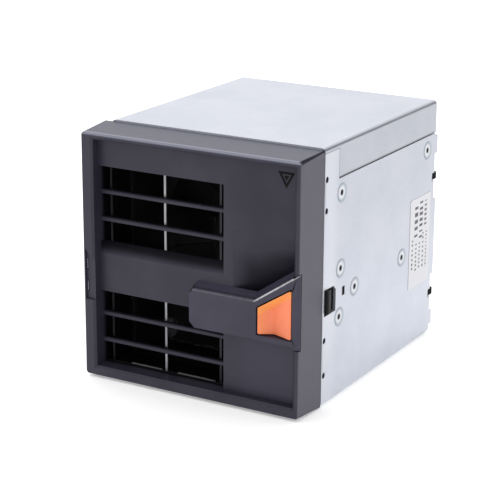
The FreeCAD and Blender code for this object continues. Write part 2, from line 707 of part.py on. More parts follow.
def scoop_bottom(place):
    """Height of the scoop's lower edge, just behind the top edge of the handle."""
    low = at.handle_top - mm.scoop_under
    if place.number > across.handle_kink.number:
        low = low + handle_slant * (place - across.handle_kink)
    return low


def button_outline(grow):
    """Outline of the button, its top parallel to the handle's slanted edge."""
    left = across.button_left - grow
    right = across.button_right + grow
    top = grow * 1.2
    return [(left, at.button_low - grow, mm.button_corner),
            (right, at.button_low - grow, mm.button_corner),
            (right, at.button_tall + top + button_slope * grow, mm.button_corner),
            (left, at.button_short + top - button_slope * grow, mm.button_corner)]


def make_pull_handle():
    """Moulded plate across the panel, bevelled on top, with the button's opening."""
    body = new_body("pull_handle")
    sections = []
    left = across.handle_left
    right = rim_inner_right - mm.handle_gap
    side = at.handle_top + handle_slant * (right - across.handle_kink)
    for depth, grow in ((as_size(0), 0.0), (mm.panel_setback, 1.0)):
        section = facing(body, depth)
        top = at.handle_top + grow * mm.handle_bevel
        peak = side + grow * mm.handle_slant_bevel
        rise = grow * (mm.handle_slant_bevel - mm.handle_bevel)
        outline(section, [
            (left, at.handle_low + mm.handle_corner), (left + mm.handle_corner, at.handle_low),
            (right, at.handle_low), (right, peak),
            (across.handle_kink - rise / handle_slant, top), (left + mm.handle_nick, top),
            (left, top - mm.handle_nick)])
        sections.append(section)
    loft(body, "AdditiveLoft", sections, ruled=True)
    # thin tongue that reaches over the rim, with a bevelled end
    tongue = facing(body, 0)
    outline(tongue, [
        (right - 1, at.handle_low), (rim_inner_right + mm.handle_gap, at.handle_low),
        (rim_inner_right + mm.handle_gap, at.handle_low - mm.handle_end_drop),
        (handle_right, at.handle_low - mm.handle_end_drop),
        (handle_right, at.handle_peak), (right - 1, side - handle_slant)])
    pad(body, tongue, mm.handle_end, backward=True)
    bevel = level(body, at.handle_low - 2)
    outline(bevel, [
        (handle_right - mm.handle_end_bevel, -0.01), (handle_right + 0.01, -0.01),
        (handle_right + 0.01, mm.handle_end_bevel)])
    pocket(body, bevel, at.handle_peak - at.handle_low + 4, backward=True)
    opening = facing(body, 0)
    outline(opening, button_outline(mm.button_gap))
    pocket(body, opening, mm.panel_setback)
    finish(body, "pull_handle")


def make_release_button():
    """Orange cap with a hollow for the thumb, a retaining lip and a wedge on its stem."""
    body = new_body("release_button")
    cap = facing(body, mm.button_front)
    outline(cap, button_outline(0.0))
    pad(body, cap, mm.button_body, backward=True)
    left = across.button_left
    right = across.button_right
    lip_front = panel_back + mm.slide_gap
    lip = facing(body, lip_front)
    rectangle(lip, left - mm.button_lip - mm.button_gap, right - mm.button_tab_end,
              at.button_low - mm.button_lip - mm.button_gap, at.button_low + mm.button_tab)
    pad(body, lip, mm.button_lip, backward=True)
    join = facing(body, mm.button_front + mm.button_body - 1.0)
    rectangle(join, left + mm.button_root, right - mm.button_tab_end,
              at.button_low + mm.button_root, at.button_low + mm.button_tab)
    pad(body, join, lip_front - mm.button_front - mm.button_body + 1.0, backward=True)

    # stem with the sloping face that pushes the slide to the left
    slope = mm.latch_travel / mm.button_travel
    wedge_x = across.wedge_left + mm.wedge_gap
    stem = level(body, at.stem_low)
    root = mm.button_front + mm.button_body - 0.5
    outline(stem, [
        (wedge_x, root), (across.stem_right, root), (across.stem_right, mm.stem_tip),
        (wedge_x + slope * (mm.stem_tip - mm.slide_front), mm.stem_tip),
        (wedge_x, mm.slide_front)])
    pad(body, stem, at.stem_high - at.stem_low)

    # thumb hollow: three sides that meet on an upright line left of the middle
    crease = left + mm.thumb_crease
    inset = mm.thumb_inset
    mouth = facing(body, mm.button_front)
    outline(mouth, [
        (left + inset, at.button_low - 1), (right - inset, at.button_low - 1),
        (right - inset, at.button_tall - 1.6 * inset),
        (left + inset, at.button_short - 0.6 * inset)])
    dent = facing(body, mm.button_front + mm.thumb_depth)
    outline(dent, [
        (crease - 0.1, at.button_low - 1), (crease + 0.1, at.button_low - 1),
        (crease + 0.1, at.button_short - 0.8), (crease - 0.1, at.button_short - 0.9)])
    loft(body, "SubtractiveLoft", [mouth, dent], ruled=True)
    finish(body, "release_button")


def make_latch_slide():
    """Flat slide with a wedge-shaped slot for the stem and a ramped hook outside."""
    body = new_body("latch_slide")
    slope = mm.latch_travel / mm.button_travel
    left = across.slide_left
    wall_in = inside - mm.slide_gap
    hook_tip = half_box + mm.hook_reach
    wedge_x = across.wedge_left
    slot_end_x = wedge_x + slope * (mm.slot_rear - mm.slide_front)
    plan = level(body, at.slide_low)
    outline(plan, [
        (left, mm.slide_front), (wedge_x, mm.slide_front), (slot_end_x, mm.slot_rear),
        (across.slot_right, mm.slot_rear), (across.slot_right, mm.slide_arm_front),
        (wall_in, mm.slide_arm_front), (wall_in, mm.hook_front), (hook_tip - 0.3, mm.hook_front),
        (hook_tip, mm.hook_front + 0.6), (hook_tip, mm.hook_front + 1.4),
        (wall_in, mm.hook_rear), (wall_in, mm.slide_rear),
        (left, mm.slide_rear)])
    pad(body, plan, at.slide_high - at.slide_low)
    # blind hole that holds the spring
    seat = sideways(body, left)
    circle(seat, (mm.slide_front + mm.slide_rear) / 2, (at.slide_low + at.slide_high) / 2,
           mm.spring_radius + mm.spring_wire + mm.spring_side_gap)
    pocket(body, seat, mm.spring_seat, backward=True)
    finish(body, "latch_slide")


def make_latch_housing():
    """Moulded block screwed inside the right wall; its channel guides the slide."""
    body = new_body("latch_housing")
    wall = sideways(body, inside)
    rectangle(wall, mm.housing_front, mm.housing_rear, at.housing_low, at.housing_high)
    pad(body, wall, inside - across.housing_left, backward=True)
    ear = sideways(body, inside)
    rectangle(ear, mm.housing_rear - 1, ear_rear, at.ear_low, at.ear_high)
    pad(body, ear, mm.ear_thick, backward=True)
    channel = sideways(body, inside)
    rectangle(channel, mm.slide_front - mm.slide_gap, mm.slide_rear + mm.slide_gap,
              at.slide_low - mm.slide_gap, at.slide_high + mm.slide_gap)
    pocket(body, channel, inside - across.channel_left)
    # way in for the stem
    mouth = facing(body, mm.housing_front)
    rectangle(mouth, across.wedge_left - mm.mouth_gap, across.slot_right,
              at.stem_low - mm.slide_gap, at.stem_high + mm.slide_gap)
    pocket(body, mouth, mm.slide_front - mm.housing_front)
    # the front face is stepped back around the spigot of the bezel
    relief = sideways(body, inside)
    rectangle(relief, mm.housing_front - 1, mm.spigot_rear + mm.slide_gap,
              at.housing_low - 1, at.housing_high + 1)
    pocket(body, relief, mm.spigot_gap + mm.spigot_wall + mm.slide_gap)
    holes = sideways(body, inside)
    for name in ("latch_top", "latch_back", "latch_low"):
        back, height = SCREWS[name]
        circle(holes, back, height, mm.screw_radius + mm.screw_fit)
    pocket(body, holes, mm.screw_long)
    finish(body, "latch_housing")


def make_latch_spring():
    """Compression spring that pushes the slide, and through it the button, home."""
    left = across.channel_left + mm.spring_wire + mm.spring_seat_gap
    right = across.slide_left + mm.spring_seat - mm.spring_wire - mm.spring_seat_gap
    coil = doc.addObject("Part::Helix", "spring_path")
    bind(coil, "Radius", mm.spring_radius)
    bind(coil, "Height", right - left)
    bind(coil, "Pitch", (right - left) / mm.spring_coils)
    wire = doc.addObject("Part::Circle", "spring_section")
    bind(wire, "Radius", mm.spring_wire)
    wire.Placement = FreeCAD.Placement(
        FreeCAD.Vector(0, 0, 0), FreeCAD.Rotation(FreeCAD.Vector(1, 0, 0), 90))
    bind(wire, ".Placement.Base.x", mm.spring_radius)
    spring = doc.addObject("Part::Sweep", "latch_spring")
    spring.Sections = [wire]
    spring.Spine = (coil, ["Edge1"])
    spring.Solid = True
    spring.Frenet = True
    finish(spring, "latch_spring", left, (mm.slide_front + mm.slide_rear) / 2,
           (at.slide_low + at.slide_high) / 2, turn=90.0, axis=(0, 1, 0))


def make_inlet_guard():
    """Steel stamping behind the slats: three bands joined by three upright ribs."""
    body = new_body("inlet_guard")
    left = rim_inner_left + mm.guard_side
    right = window_right + mm.guard_over
    low_edge = rim_inner_low + 0.1
    bands = facing(body, panel_back)
    for low, high in ((low_edge, low_edge + mm.guard_lip / 2), (at.lower_top, at.bar_top - mm.guard_lip),
                      (upper_top, upper_top + mm.guard_lap)):
        rectangle(bands, left, right, low, high)
    pad(body, bands, mm.guard_wall, backward=True)
    middle = (rim_inner_left + window_right) / 2
    pitch = window_wide / 2 - mm.guard_side_rib
    for place in (-1, 0, 1):
        rib = facing(body, panel_back)
        centre = middle + place * pitch
        rectangle(rib, centre - mm.guard_rib / 2, centre + mm.guard_rib / 2,
                  low_edge + 0.1, upper_top + mm.guard_lap / 2)
        pad(body, rib, mm.guard_wall, backward=True)
    lips = facing(body, panel_back)
    for near, far in ((-0.66, -0.09), (0.21, 0.91)):
        rectangle(lips, middle + near * pitch, middle + far * pitch, low_edge + 0.1,
                  low_edge + mm.guard_lip)
    pad(body, lips, mm.guard_wall, backward=True)
    finish(body, "inlet_guard")


def make_intake_duct():
    """Thin moulded liner between the bezel and the fans, open towards the latch."""
    body = new_body("intake_duct")
    profile = facing(body, mm.spigot_rear + mm.duct_gap)
    left = mm.duct_side - inside
    right = inside - mm.duct_side - mm.duct_gap
    outline(profile, [
        (left, mm.steel), (right, mm.steel), (right, mm.steel + mm.duct_wall),
        (left + mm.duct_wall, mm.steel + mm.duct_wall),
        (left + mm.duct_wall, under_cover - mm.duct_wall),
        (right, under_cover - mm.duct_wall), (right, under_cover), (left, under_cover)])
    rear = mm.fan_front - mm.bolt_head_deep - mm.duct_gap
    pad(body, profile, rear - mm.spigot_rear - mm.duct_gap, backward=True)
    finish(body, "intake_duct")


# ---------------------------------------------------------------- fans

def make_fan(name, middle_depth, turn, pitch_sign, blades, locating=None):
    """One 80 mm fan: frame, motor and impeller, turned about its own centre."""
    half = mm.fan_depth / 2
    square = mm.fan_size / 2
    place = {"across": 0.0, "back": middle_depth, "up": fan_height, "turn": turn}

    frame = new_body(name + "_frame")
    for start in (-half, half - mm.flange):
        flange = facing(frame, start)
        rectangle(flange, -square, square, -square, square, mm.fan_corner)
        pad(frame, flange, mm.flange, backward=True)
    tube_front = mm.tube_setback - half
    barrel = facing(frame, -half + 0.5)
    circle(barrel, 0, 0, fan_bore + mm.barrel_wall)
    pad(frame, barrel, mm.fan_depth - 1, backward=True)
    bore = facing(frame, -half)
    circle(bore, 0, 0, fan_bore)
    pocket(frame, bore)
    holes = facing(frame, -half)
    pitch = hole_pitch / 2
    for across in (-pitch, pitch):
        for up in (-pitch, pitch):
            circle(holes, across, up, mm.fan_hole)
    pocket(frame, holes)
    seat = facing(frame, half - mm.seat_thick)
    circle(seat, 0, 0, mm.seat_radius)
    pad(frame, seat, mm.seat_thick, backward=True)
    strut = facing(frame, half - mm.flange)
    rectangle(strut, -mm.strut_width / 2, mm.strut_width / 2, mm.seat_radius - 1,
              fan_bore + 0.6)
    arm = pad(frame, strut, mm.flange, backward=True)
    polar(frame, [arm], mm.strut_count)
    tube = facing(frame, tube_front)
    circle(tube, 0, 0, mm.tube_radius)
    pad(frame, tube, half - mm.seat_thick - tube_front, backward=True)
    bearing_bore = facing(frame, tube_front)
    circle(bearing_bore, 0, 0, mm.bearing_radius + mm.bearing_fit)
    pocket(frame, bearing_bore, half - 1 - tube_front)
    for sign in SIDES.values() if locating else ():
        blind = sideways(frame, sign * square)
        circle(blind, locating[0], locating[1], mm.screw_radius + mm.screw_fit)
        pocket(frame, blind, mm.locating_long - (half_box - square) + mm.locating_deep,
               backward=sign < 0)
    finish(frame, name + "_frame", **place)

    # two ball bearings as closed rings in the tube
    bearings = new_body(name + "_bearings")
    for start in (tube_front + mm.bearing_inset, half - mm.seat_thick - mm.bearing_wide):
        ring = facing(bearings, start)
        circle(ring, 0, 0, mm.bearing_radius)
        circle(ring, 0, 0, mm.shaft_radius + mm.shaft_fit)
        pad(bearings, ring, mm.bearing_wide, backward=True)
    finish(bearings, name + "_bearings", **place)

    # stator: laminated core with teeth, and a coil on each tooth
    core = new_body(name + "_stator_core")
    middle = mm.core_place
    hub = facing(core, middle - mm.core_half)
    circle(hub, 0, 0, mm.tooth_root)
    circle(hub, 0, 0, mm.tube_radius + mm.core_fit)
    pad(core, hub, 2 * mm.core_half, backward=True)
    flare = mm.tooth_width / 2 + mm.tooth_flare
    tooth = facing(core, middle - mm.core_half)
    outline(tooth, [
        (-mm.tooth_width / 2, mm.tooth_root - 0.6), (mm.tooth_width / 2, mm.tooth_root - 0.6),
        (mm.tooth_width / 2, mm.tooth_tip), (flare, mm.core_radius - 0.9),
        (flare - 0.4, mm.core_radius), (0.4 - flare, mm.core_radius),
        (-flare, mm.core_radius - 0.9), (-mm.tooth_width / 2, mm.tooth_tip)])
    arm = pad(core, tooth, 2 * mm.core_half, backward=True)
    polar(core, [arm], 6)
    finish(core, name + "_stator_core", **place)

    coils = new_body(name + "_stator_coils")
    reach = mm.tooth_width / 2 + mm.core_fit
    ring = level(coils, mm.tooth_root + 0.5)
    rectangle(ring, -reach - mm.coil_wall, reach + mm.coil_wall,
              middle - mm.core_half - mm.coil_wall, middle + mm.core_half + mm.coil_wall, 1.2)
    rectangle(ring, -reach, reach, middle - mm.core_half - mm.core_fit,
              middle + mm.core_half + mm.core_fit)
    winding = pad(coils, ring, mm.tooth_tip - mm.tooth_root - 0.9)
    coils.AllowCompound = True
    polar(coils, [winding], 6)
    finish(coils, name + "_stator_coils", **place)

    board = new_body(name + "_motor_board")
    disc = facing(board, half - mm.seat_thick - mm.board_wall)
    circle(disc, 0, 0, mm.board_radius)
    circle(disc, 0, 0, mm.tube_radius + mm.core_fit)
    pad(board, disc, mm.board_wall, backward=True)
    finish(board, name + "_motor_board", **place)

    # rotor: shaft, steel yoke, ring magnet and moulded impeller
    shaft = new_body(name + "_shaft")
    hub_front = mm.hub_setback - half
    hub_rear = half - mm.hub_gap
    shaft_front = hub_front + mm.shaft_cover
    rod = facing(shaft, shaft_front)
    circle(rod, 0, 0, mm.shaft_radius)
    pad(shaft, rod, half - mm.shaft_end - shaft_front, backward=True)
    finish(shaft, name + "_shaft", **place)

    cup_in = mm.hub_radius - mm.hub_wall
    yoke_out = cup_in - mm.yoke_fit
    face_back = hub_front + mm.hub_face
    yoke_rear = hub_rear - mm.yoke_short
    yoke = new_body(name + "_rotor_yoke")
    profile = level(yoke, 0)
    outline(profile, [
        (mm.boss_radius + mm.yoke_fit, face_back + mm.yoke_fit),
        (yoke_out, face_back + mm.yoke_fit), (yoke_out, yoke_rear),
        (yoke_out - mm.yoke_wall, yoke_rear),
        (yoke_out - mm.yoke_wall, face_back + mm.yoke_fit + mm.yoke_wall),
        (mm.boss_radius + mm.yoke_fit, face_back + mm.yoke_fit + mm.yoke_wall)])
    turned(yoke, "Revolution", profile)
    finish(yoke, name + "_rotor_yoke", **place)

    magnet = new_body(name + "_rotor_magnet")
    profile = level(magnet, 0)
    magnet_out = yoke_out - mm.yoke_wall
    rectangle(profile, magnet_out - mm.magnet_wall, magnet_out, face_back + mm.magnet_inset,
              yoke_rear - mm.yoke_short)
    turned(magnet, "Revolution", profile)
    finish(magnet, name + "_rotor_magnet", **place)

    impeller = new_body(name + "_rotor_blank")
    profile = level(impeller, 0)
    outline(profile, [
        (0, hub_front), (mm.hub_radius, hub_front, mm.hub_round),
        (mm.hub_radius, hub_rear), (0, hub_rear)])
    turned(impeller, "Revolution", profile)
    root = mm.hub_radius - mm.hub_wall - 1.5
    tip = fan_bore - mm.tip_gap
    sections = []
    for share in (0.0, 0.5, 1.0):
        across = root + share * (tip + mm.blade_extra - root)
        section = sideways(impeller, across)
        pitch = pitch_sign * (mm.blade_root_pitch
                              + share * (mm.blade_tip_pitch - mm.blade_root_pitch))
        section.AttachmentOffset = FreeCAD.Placement(
            section.AttachmentOffset.Base, FreeCAD.Rotation(FreeCAD.Vector(0, 0, 1), pitch.number))
        bind(section, ".AttachmentOffset.Rotation.Angle", pitch)
        bind(section, ".AttachmentOffset.Base.x", mm.blade_shift)
        chord = mm.blade_root_chord + share * (mm.blade_tip_chord - mm.blade_root_chord)
        camber = mm.blade_root_camber + share * (mm.blade_tip_camber - mm.blade_root_camber)
        blade_section(section, chord, camber)
        sections.append(section)
    blade = loft(impeller, "AdditiveLoft", sections)
    polar(impeller, [blade], blades)
    boss_rear = tube_front - mm.boss_gap
    inner = level(impeller, 0)
    outline(inner, [
        (mm.boss_radius, face_back), (cup_in, face_back), (cup_in, half),
        (0, half), (0, boss_rear), (mm.boss_radius, boss_rear)])
    turned(impeller, "Groove", inner)
    bore = level(impeller, 0)
    rectangle(bore, 0, mm.shaft_radius + mm.shaft_fit / 2, shaft_front - 0.1, half)
    turned(impeller, "Groove", bore)
    # the long blades are trimmed to a cylinder that clears the bore
    sweep = doc.addObject("Part::Cylinder", name + "_tip_circle")
    sweep.Placement = FreeCAD.Placement(
        FreeCAD.Vector(0, 0, 0), FreeCAD.Rotation(FreeCAD.Vector(1, 0, 0), -90))
    bind(sweep, "Radius", tip)
    bind(sweep, "Height", 2 * mm.fan_depth)
    bind(sweep, ".Placement.Base.y", -mm.fan_depth)
    trimmed = doc.addObject("Part::Common", name + "_impeller_trimmed")
    trimmed.Base = impeller
    trimmed.Tool = sweep
    finish(trimmed, name + "_impeller", **place)


def blade_section(sketch, chord, camber):
    """Thin crescent: two arcs about centres on the section's middle line."""
    half = chord / 2
    edge = mm.blade_wall / 4
    ends = []
    for rise, height in ((edge, camber + mm.blade_wall / 2), (-edge, camber - mm.blade_wall / 2)):
        sag = height - rise
        radius = (half * half + sag * sag) / (2 * sag)
        centre = FreeCAD.Vector(0, rise.number + sag.number - radius.number, 0)
        spread = math.asin(half.number / radius.number)
        ring = Part.Circle(centre, FreeCAD.Vector(0, 0, 1), radius.number)
        arc = sketch.addGeometry(
            Part.ArcOfCircle(ring, math.pi / 2 - spread, math.pi / 2 + spread), False)
        place_point(sketch, arc, 1, half, rise)
        place_point(sketch, arc, 2, -half, rise)
        index = sketch.addConstraint(Sketcher.Constraint("Radius", arc, radius.number))
        bind(sketch, "Constraints[%d]" % index, radius)
        ends.append(arc)
    for point, sign in ((1, 1), (2, -1)):
        high = FreeCAD.Vector(sign * half.number, edge.number, 0)
        low = FreeCAD.Vector(sign * half.number, -edge.number, 0)
        line = sketch.addGeometry(Part.LineSegment(high, low), False)
        sketch.addConstraint(Sketcher.Constraint("Coincident", line, 1, ends[0], point))
        sketch.addConstraint(Sketcher.Constraint("Coincident", line, 2, ends[1], point))


def corner_places():
    pitch = hole_pitch / 2
    return [(across, up) for across in (-pitch, pitch) for up in (-pitch, pitch)]


def make_fan_fixings():
    """Bolts and nuts that join the two fans, and the foam pads that hold them."""
    bolts = new_body("fan_bolts")
    bolts.AllowCompound = True
    heads = facing(bolts, mm.fan_front - mm.bolt_head_deep)
    shanks = facing(bolts, mm.fan_front)
    for across, up in corner_places():
        circle(heads, across, fan_height + up, mm.bolt_head_radius)
        circle(shanks, across, fan_height + up, mm.bolt_radius)
    pad(bolts, heads, mm.bolt_head_deep, backward=True)
    pad(bolts, shanks, 2 * mm.fan_depth + mm.bolt_over, backward=True)
    finish(bolts, "fan_bolts")

    nuts = new_body("fan_nuts")
    nuts.AllowCompound = True
    plan = facing(nuts, fan_rear)
    flat = mm.nut_across / 2
    point = flat * (2 / math.sqrt(3))
    for across, up in corner_places():
        centre = fan_height + up
        outline(plan, [
            (across, centre - point), (across + flat, centre - point / 2),
            (across + flat, centre + point / 2), (across, centre + point),
            (across - flat, centre + point / 2), (across - flat, centre - point / 2)])
        circle(plan, across, centre, mm.bolt_radius + mm.screw_fit)
    pad(nuts, plan, mm.nut_deep, backward=True)
    finish(nuts, "fan_nuts")

    pads = new_body("fan_pads")
    pads.AllowCompound = True
    front = mm.fan_front + mm.pad_inset
    rear = fan_rear - mm.pad_inset
    under = level(pads, mm.steel)
    half = mm.pad_long / 2
    rectangle(under, -half, half, front, front + mm.pad_deep)
    rectangle(under, -half, half, rear - mm.pad_deep, rear)
    pad(pads, under, fan_low - mm.steel)
    over = level(pads, fan_high)
    rectangle(over, -half, half, front, front + mm.pad_deep)
    pad(pads, over, under_cover - fan_high)
    finish(pads, "fan_pads")


# ---------------------------------------------------------------- board and plug

def make_electronics():
    """Control board above the fans with a blind-mate plug at its rear edge."""
    half = mm.fan_size / 2 - mm.control_inset
    front = mm.fan_front + mm.control_back

    board = new_body("control_board")
    plan = level(board, control_high - mm.board_wall)
    rectangle(plan, -half, half, front, control_rear, 1.5)
    pad(board, plan, mm.board_wall)
    chips = level(board, control_high)
    for place in (-1.5, -0.5, 0.5, 1.5):
        left = place * mm.chip_pitch - mm.chip_size / 2
        near = front + mm.chip_size
        rectangle(chips, left, left + mm.chip_size, near, near + mm.chip_size)
    pad(board, chips, mm.chip_wall)
    finish(board, "control_board")

    spacers = new_body("board_spacers")
    spacers.AllowCompound = True
    feet = level(spacers, fan_high)
    for across in (-half + mm.spacer_inset, half - mm.spacer_inset):
        for back in (fan_middle, fan_rear):
            circle(feet, across, back - mm.flange / 2, mm.spacer_radius)
    pad(spacers, feet, mm.spacer_tall)
    finish(spacers, "board_spacers")

    plug = new_body("rear_plug")
    plug_rear = wall_rear + mm.plug_over
    plug_high = plug_low + mm.plug_tall
    block = facing(plug, plug_front)
    rectangle(block, plug_left, plug_right, plug_low, plug_high, mm.plug_corner)
    pad(plug, block, plug_rear - plug_front, backward=True)
    cavity = facing(plug, plug_front + mm.plug_back_wall)
    wall = mm.plug_wall
    rectangle(cavity, plug_left + wall, plug_right - wall, plug_low + wall, plug_high - wall)
    pocket(plug, cavity)
    slots = facing(plug, plug_front)
    for centre in pin_places():
        reach = mm.pin_width / 2 + mm.pin_fit
        rectangle(slots, centre - reach, centre + reach, control_high,
                  control_high + mm.pin_wall + 2 * mm.pin_fit)
    pocket(plug, slots)
    finish(plug, "rear_plug")

    pins = new_body("plug_contacts")
    pins.AllowCompound = True
    plan = level(pins, control_high + mm.pin_fit)
    for centre in pin_places():
        reach = mm.pin_width / 2
        rectangle(plan, centre - reach, centre + reach, control_rear - mm.pin_reach,
                  plug_rear - mm.pin_short)
    pad(pins, plan, mm.pin_wall)
    finish(pins, "plug_contacts")


def pin_places():
    middle = plug_left + mm.plug_wide / 2
    return [middle + place * mm.pin_pitch for place in range(-2, 3)]


def make_rear_guard():
    """Moulded rear frame: collar on the fan, rings and spokes, and four snap arms."""
    body = new_body("rear_guard")
    rear_half = inside - mm.rear_side_gap
    plate = facing(body, rear_front)
    rectangle(plate, -rear_half, rear_half, mm.steel + mm.rear_gap, rear_high, 1.0)
    pad(body, plate, mm.rear_wall, backward=True)
    collar = facing(body, fan_rear + mm.collar_gap)
    circle(collar, 0, fan_height, rear_bore + mm.collar_wall)
    pad(body, collar, rear_front - fan_rear - mm.collar_gap, backward=True)
    bore = facing(body, fan_rear)
    circle(bore, 0, fan_height, rear_bore)
    pocket(body, bore)
    notch = facing(body, fan_rear)
    rectangle(notch, plug_left - mm.plug_clear, plug_right + mm.plug_clear,
              plug_low - mm.plug_clear, rear_high + 1)
    pocket(body, notch, mm.rear_setback + mm.rear_wall)
    ring_front = rear_front + mm.rear_wall - mm.rear_ring_wall
    hub = facing(body, ring_front)
    circle(hub, 0, fan_height, mm.rear_hub)
    pad(body, hub, mm.rear_ring_wall, backward=True)
    ring_pitch = (rear_bore - mm.rear_ring_edge - mm.rear_hub) / 3
    for place in (1, 2, 3):
        ring = facing(body, ring_front)
        radius = mm.rear_hub + place * ring_pitch
        circle(ring, 0, fan_height, radius)
        circle(ring, 0, fan_height, radius - mm.rear_ring)
        pad(body, ring, mm.rear_ring_wall, backward=True)
    spokes = facing(body, ring_front)
    half = mm.rear_spoke / 2
    rectangle(spokes, -rear_bore - 0.5, rear_bore + 0.5, fan_height - half,
              fan_height + half)
    pad(body, spokes, mm.rear_ring_wall, backward=True)
    spokes = facing(body, ring_front)
    rectangle(spokes, -half, half, fan_height - rear_bore - 0.5,
              fan_height + rear_bore + 0.5)
    pad(body, spokes, mm.rear_ring_wall, backward=True)
    for height in (at.snap_high, at.snap_low):
        for sign in SIDES.values():
            arm = level(body, height - mm.snap_tall / 2)
            root = rear_half - mm.arm_root
            along_wall = inside - mm.arm_gap
            barb = half_box - mm.barb_gap
            near = snap_notch + mm.snap_clear
            outline(arm, [
                (sign * root, rear_front), (sign * along_wall, rear_front),
                (sign * along_wall, near), (sign * barb, near), (sign * barb, tab_rear),
                (sign * (barb - mm.arm_root), snap_end), (sign * root, snap_end)])
            pad(body, arm, mm.snap_tall)
    finish(body, "rear_guard")


# ---------------------------------------------------------------- build and write

make_chassis_shell()
make_top_cover()
make_front_bezel()
make_inlet_guard()
make_intake_duct()
make_pull_handle()
make_release_button()
make_latch_slide()
make_latch_spring()
make_latch_housing()
make_fan("front_fan", mm.fan_front + mm.fan_depth / 2, 0.0, 1, 7)
side_back, side_height = SCREWS["fan_side"]
make_fan("rear_fan", rear_fan_middle, 180.0, -1, 5,
         locating=(rear_fan_middle - side_back, side_height - fan_height))
make_fan_fixings()
make_electronics()
make_rear_guard()
make_wall_screws("latch_screws", [("right", "latch_top"), ("right", "latch_back"),
                                  ("right", "latch_low")], mm.screw_long)
make_wall_screws("cover_screws", [(side, name) for side in SIDES
                                  for name in ("cover_front", "cover_rear")],
                 mm.cover_screw_long)
make_wall_screws("fan_side_screws", [(side, "fan_side") for side in SIDES], mm.locating_long)
doc.recompute()

for thing in doc.Objects:
    if "Invalid" in thing.State or "Error" in thing.State:
        raise RuntimeError("%s is %s" % (thing.Label, thing.State))
    if thing.TypeId in ("PartDesign::Pocket", "PartDesign::Groove", "PartDesign::Hole",
                        "PartDesign::SubtractiveLoft"):
        if thing.Shape.Volume >= thing.BaseFeature.Shape.Volume - 1e-6:
            raise RuntimeError("%s cuts nothing" % thing.Label)
for piece in PIECES:
    if piece.Shape.isNull() or not piece.Shape.isValid():
        raise RuntimeError("%s has no valid shape" % piece.Label)

os.makedirs("parts", exist_ok=True)
for piece in PIECES:
    piece.Shape.exportStep("parts/%s.step" % piece.Label)
    box = piece.Shape.BoundBox
    print("%-24s solids %2d volume %9.1f  x %7.2f %7.2f  y %7.2f %7.2f  z %6.2f %6.2f" % (
        piece.Label, len(piece.Shape.Solids), piece.Shape.Volume,
        box.XMin, box.XMax, box.YMin, box.YMax, box.ZMin, box.ZMax))
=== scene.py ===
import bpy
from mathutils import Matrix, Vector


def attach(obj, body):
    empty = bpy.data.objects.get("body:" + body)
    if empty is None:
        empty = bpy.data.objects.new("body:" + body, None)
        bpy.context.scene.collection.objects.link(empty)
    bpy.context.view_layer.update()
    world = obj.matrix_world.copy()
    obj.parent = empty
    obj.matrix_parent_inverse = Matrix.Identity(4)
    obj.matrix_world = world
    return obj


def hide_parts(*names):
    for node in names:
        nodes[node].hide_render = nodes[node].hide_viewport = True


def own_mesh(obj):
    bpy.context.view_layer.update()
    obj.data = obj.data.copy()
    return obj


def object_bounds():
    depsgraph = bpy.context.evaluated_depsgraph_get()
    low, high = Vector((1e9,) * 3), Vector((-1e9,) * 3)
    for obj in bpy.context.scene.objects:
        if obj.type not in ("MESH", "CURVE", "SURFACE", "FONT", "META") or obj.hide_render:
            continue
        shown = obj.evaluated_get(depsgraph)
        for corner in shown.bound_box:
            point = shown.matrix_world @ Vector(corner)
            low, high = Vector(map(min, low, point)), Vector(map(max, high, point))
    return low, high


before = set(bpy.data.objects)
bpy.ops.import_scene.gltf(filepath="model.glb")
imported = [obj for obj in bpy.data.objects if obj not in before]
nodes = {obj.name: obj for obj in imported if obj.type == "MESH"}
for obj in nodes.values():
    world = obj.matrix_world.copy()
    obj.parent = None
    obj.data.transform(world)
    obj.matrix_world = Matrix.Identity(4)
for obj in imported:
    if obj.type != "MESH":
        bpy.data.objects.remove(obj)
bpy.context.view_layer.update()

import math

import bmesh
import bpy
from mathutils import Matrix, Vector


# ---- Steel box -------------------------------------------------------------
# The floor and side walls are one bent sheet of 1 mm zinc plated steel, and the
# cover is a second sheet whose flaps close down over them. The plating is a
# pale satin grey with a cloudy, slightly directional grain.

# lengths are in millimetres unless a line says metres
MM = 0.001


class Value:
    """A shader socket that can be used in a Python expression."""

    def __init__(self, shader, socket):
        self.shader = shader
        self.socket = socket

    def _math(self, operation, *others):
        return self.shader.node("ShaderNodeMath", {"operation": operation}, self, *others).out()

    def __add__(self, other):
        return self._math("ADD", other)

    __radd__ = __add__

    def __sub__(self, other):
        return self._math("SUBTRACT", other)

    def __rsub__(self, other):
        return self.shader.node("ShaderNodeMath", {"operation": "SUBTRACT"}, other, self).out()

    def __mul__(self, other):
        return self._math("MULTIPLY", other)

    def __abs__(self):
        return self._math("ABSOLUTE")

    def __pow__(self, other):
        return self._math("POWER", other)

    def least(self, other):
        return self._math("MINIMUM", other)

    def most(self, other):
        return self._math("MAXIMUM", other)

    def step(self, low, high):
        """0 below low, 1 above high, and smooth between them."""
        made = self.shader.node("ShaderNodeMapRange", {"interpolation_type": "SMOOTHSTEP"},
                                self, low, high, 0.0, 1.0)
        return made.out("Result")


class Node:
    """A shader node whose outputs are read as Values."""

    def __init__(self, shader, node):
        self.shader = shader
        self.node = node

    def out(self, name=0):
        return Value(self.shader, self.node.outputs[name])


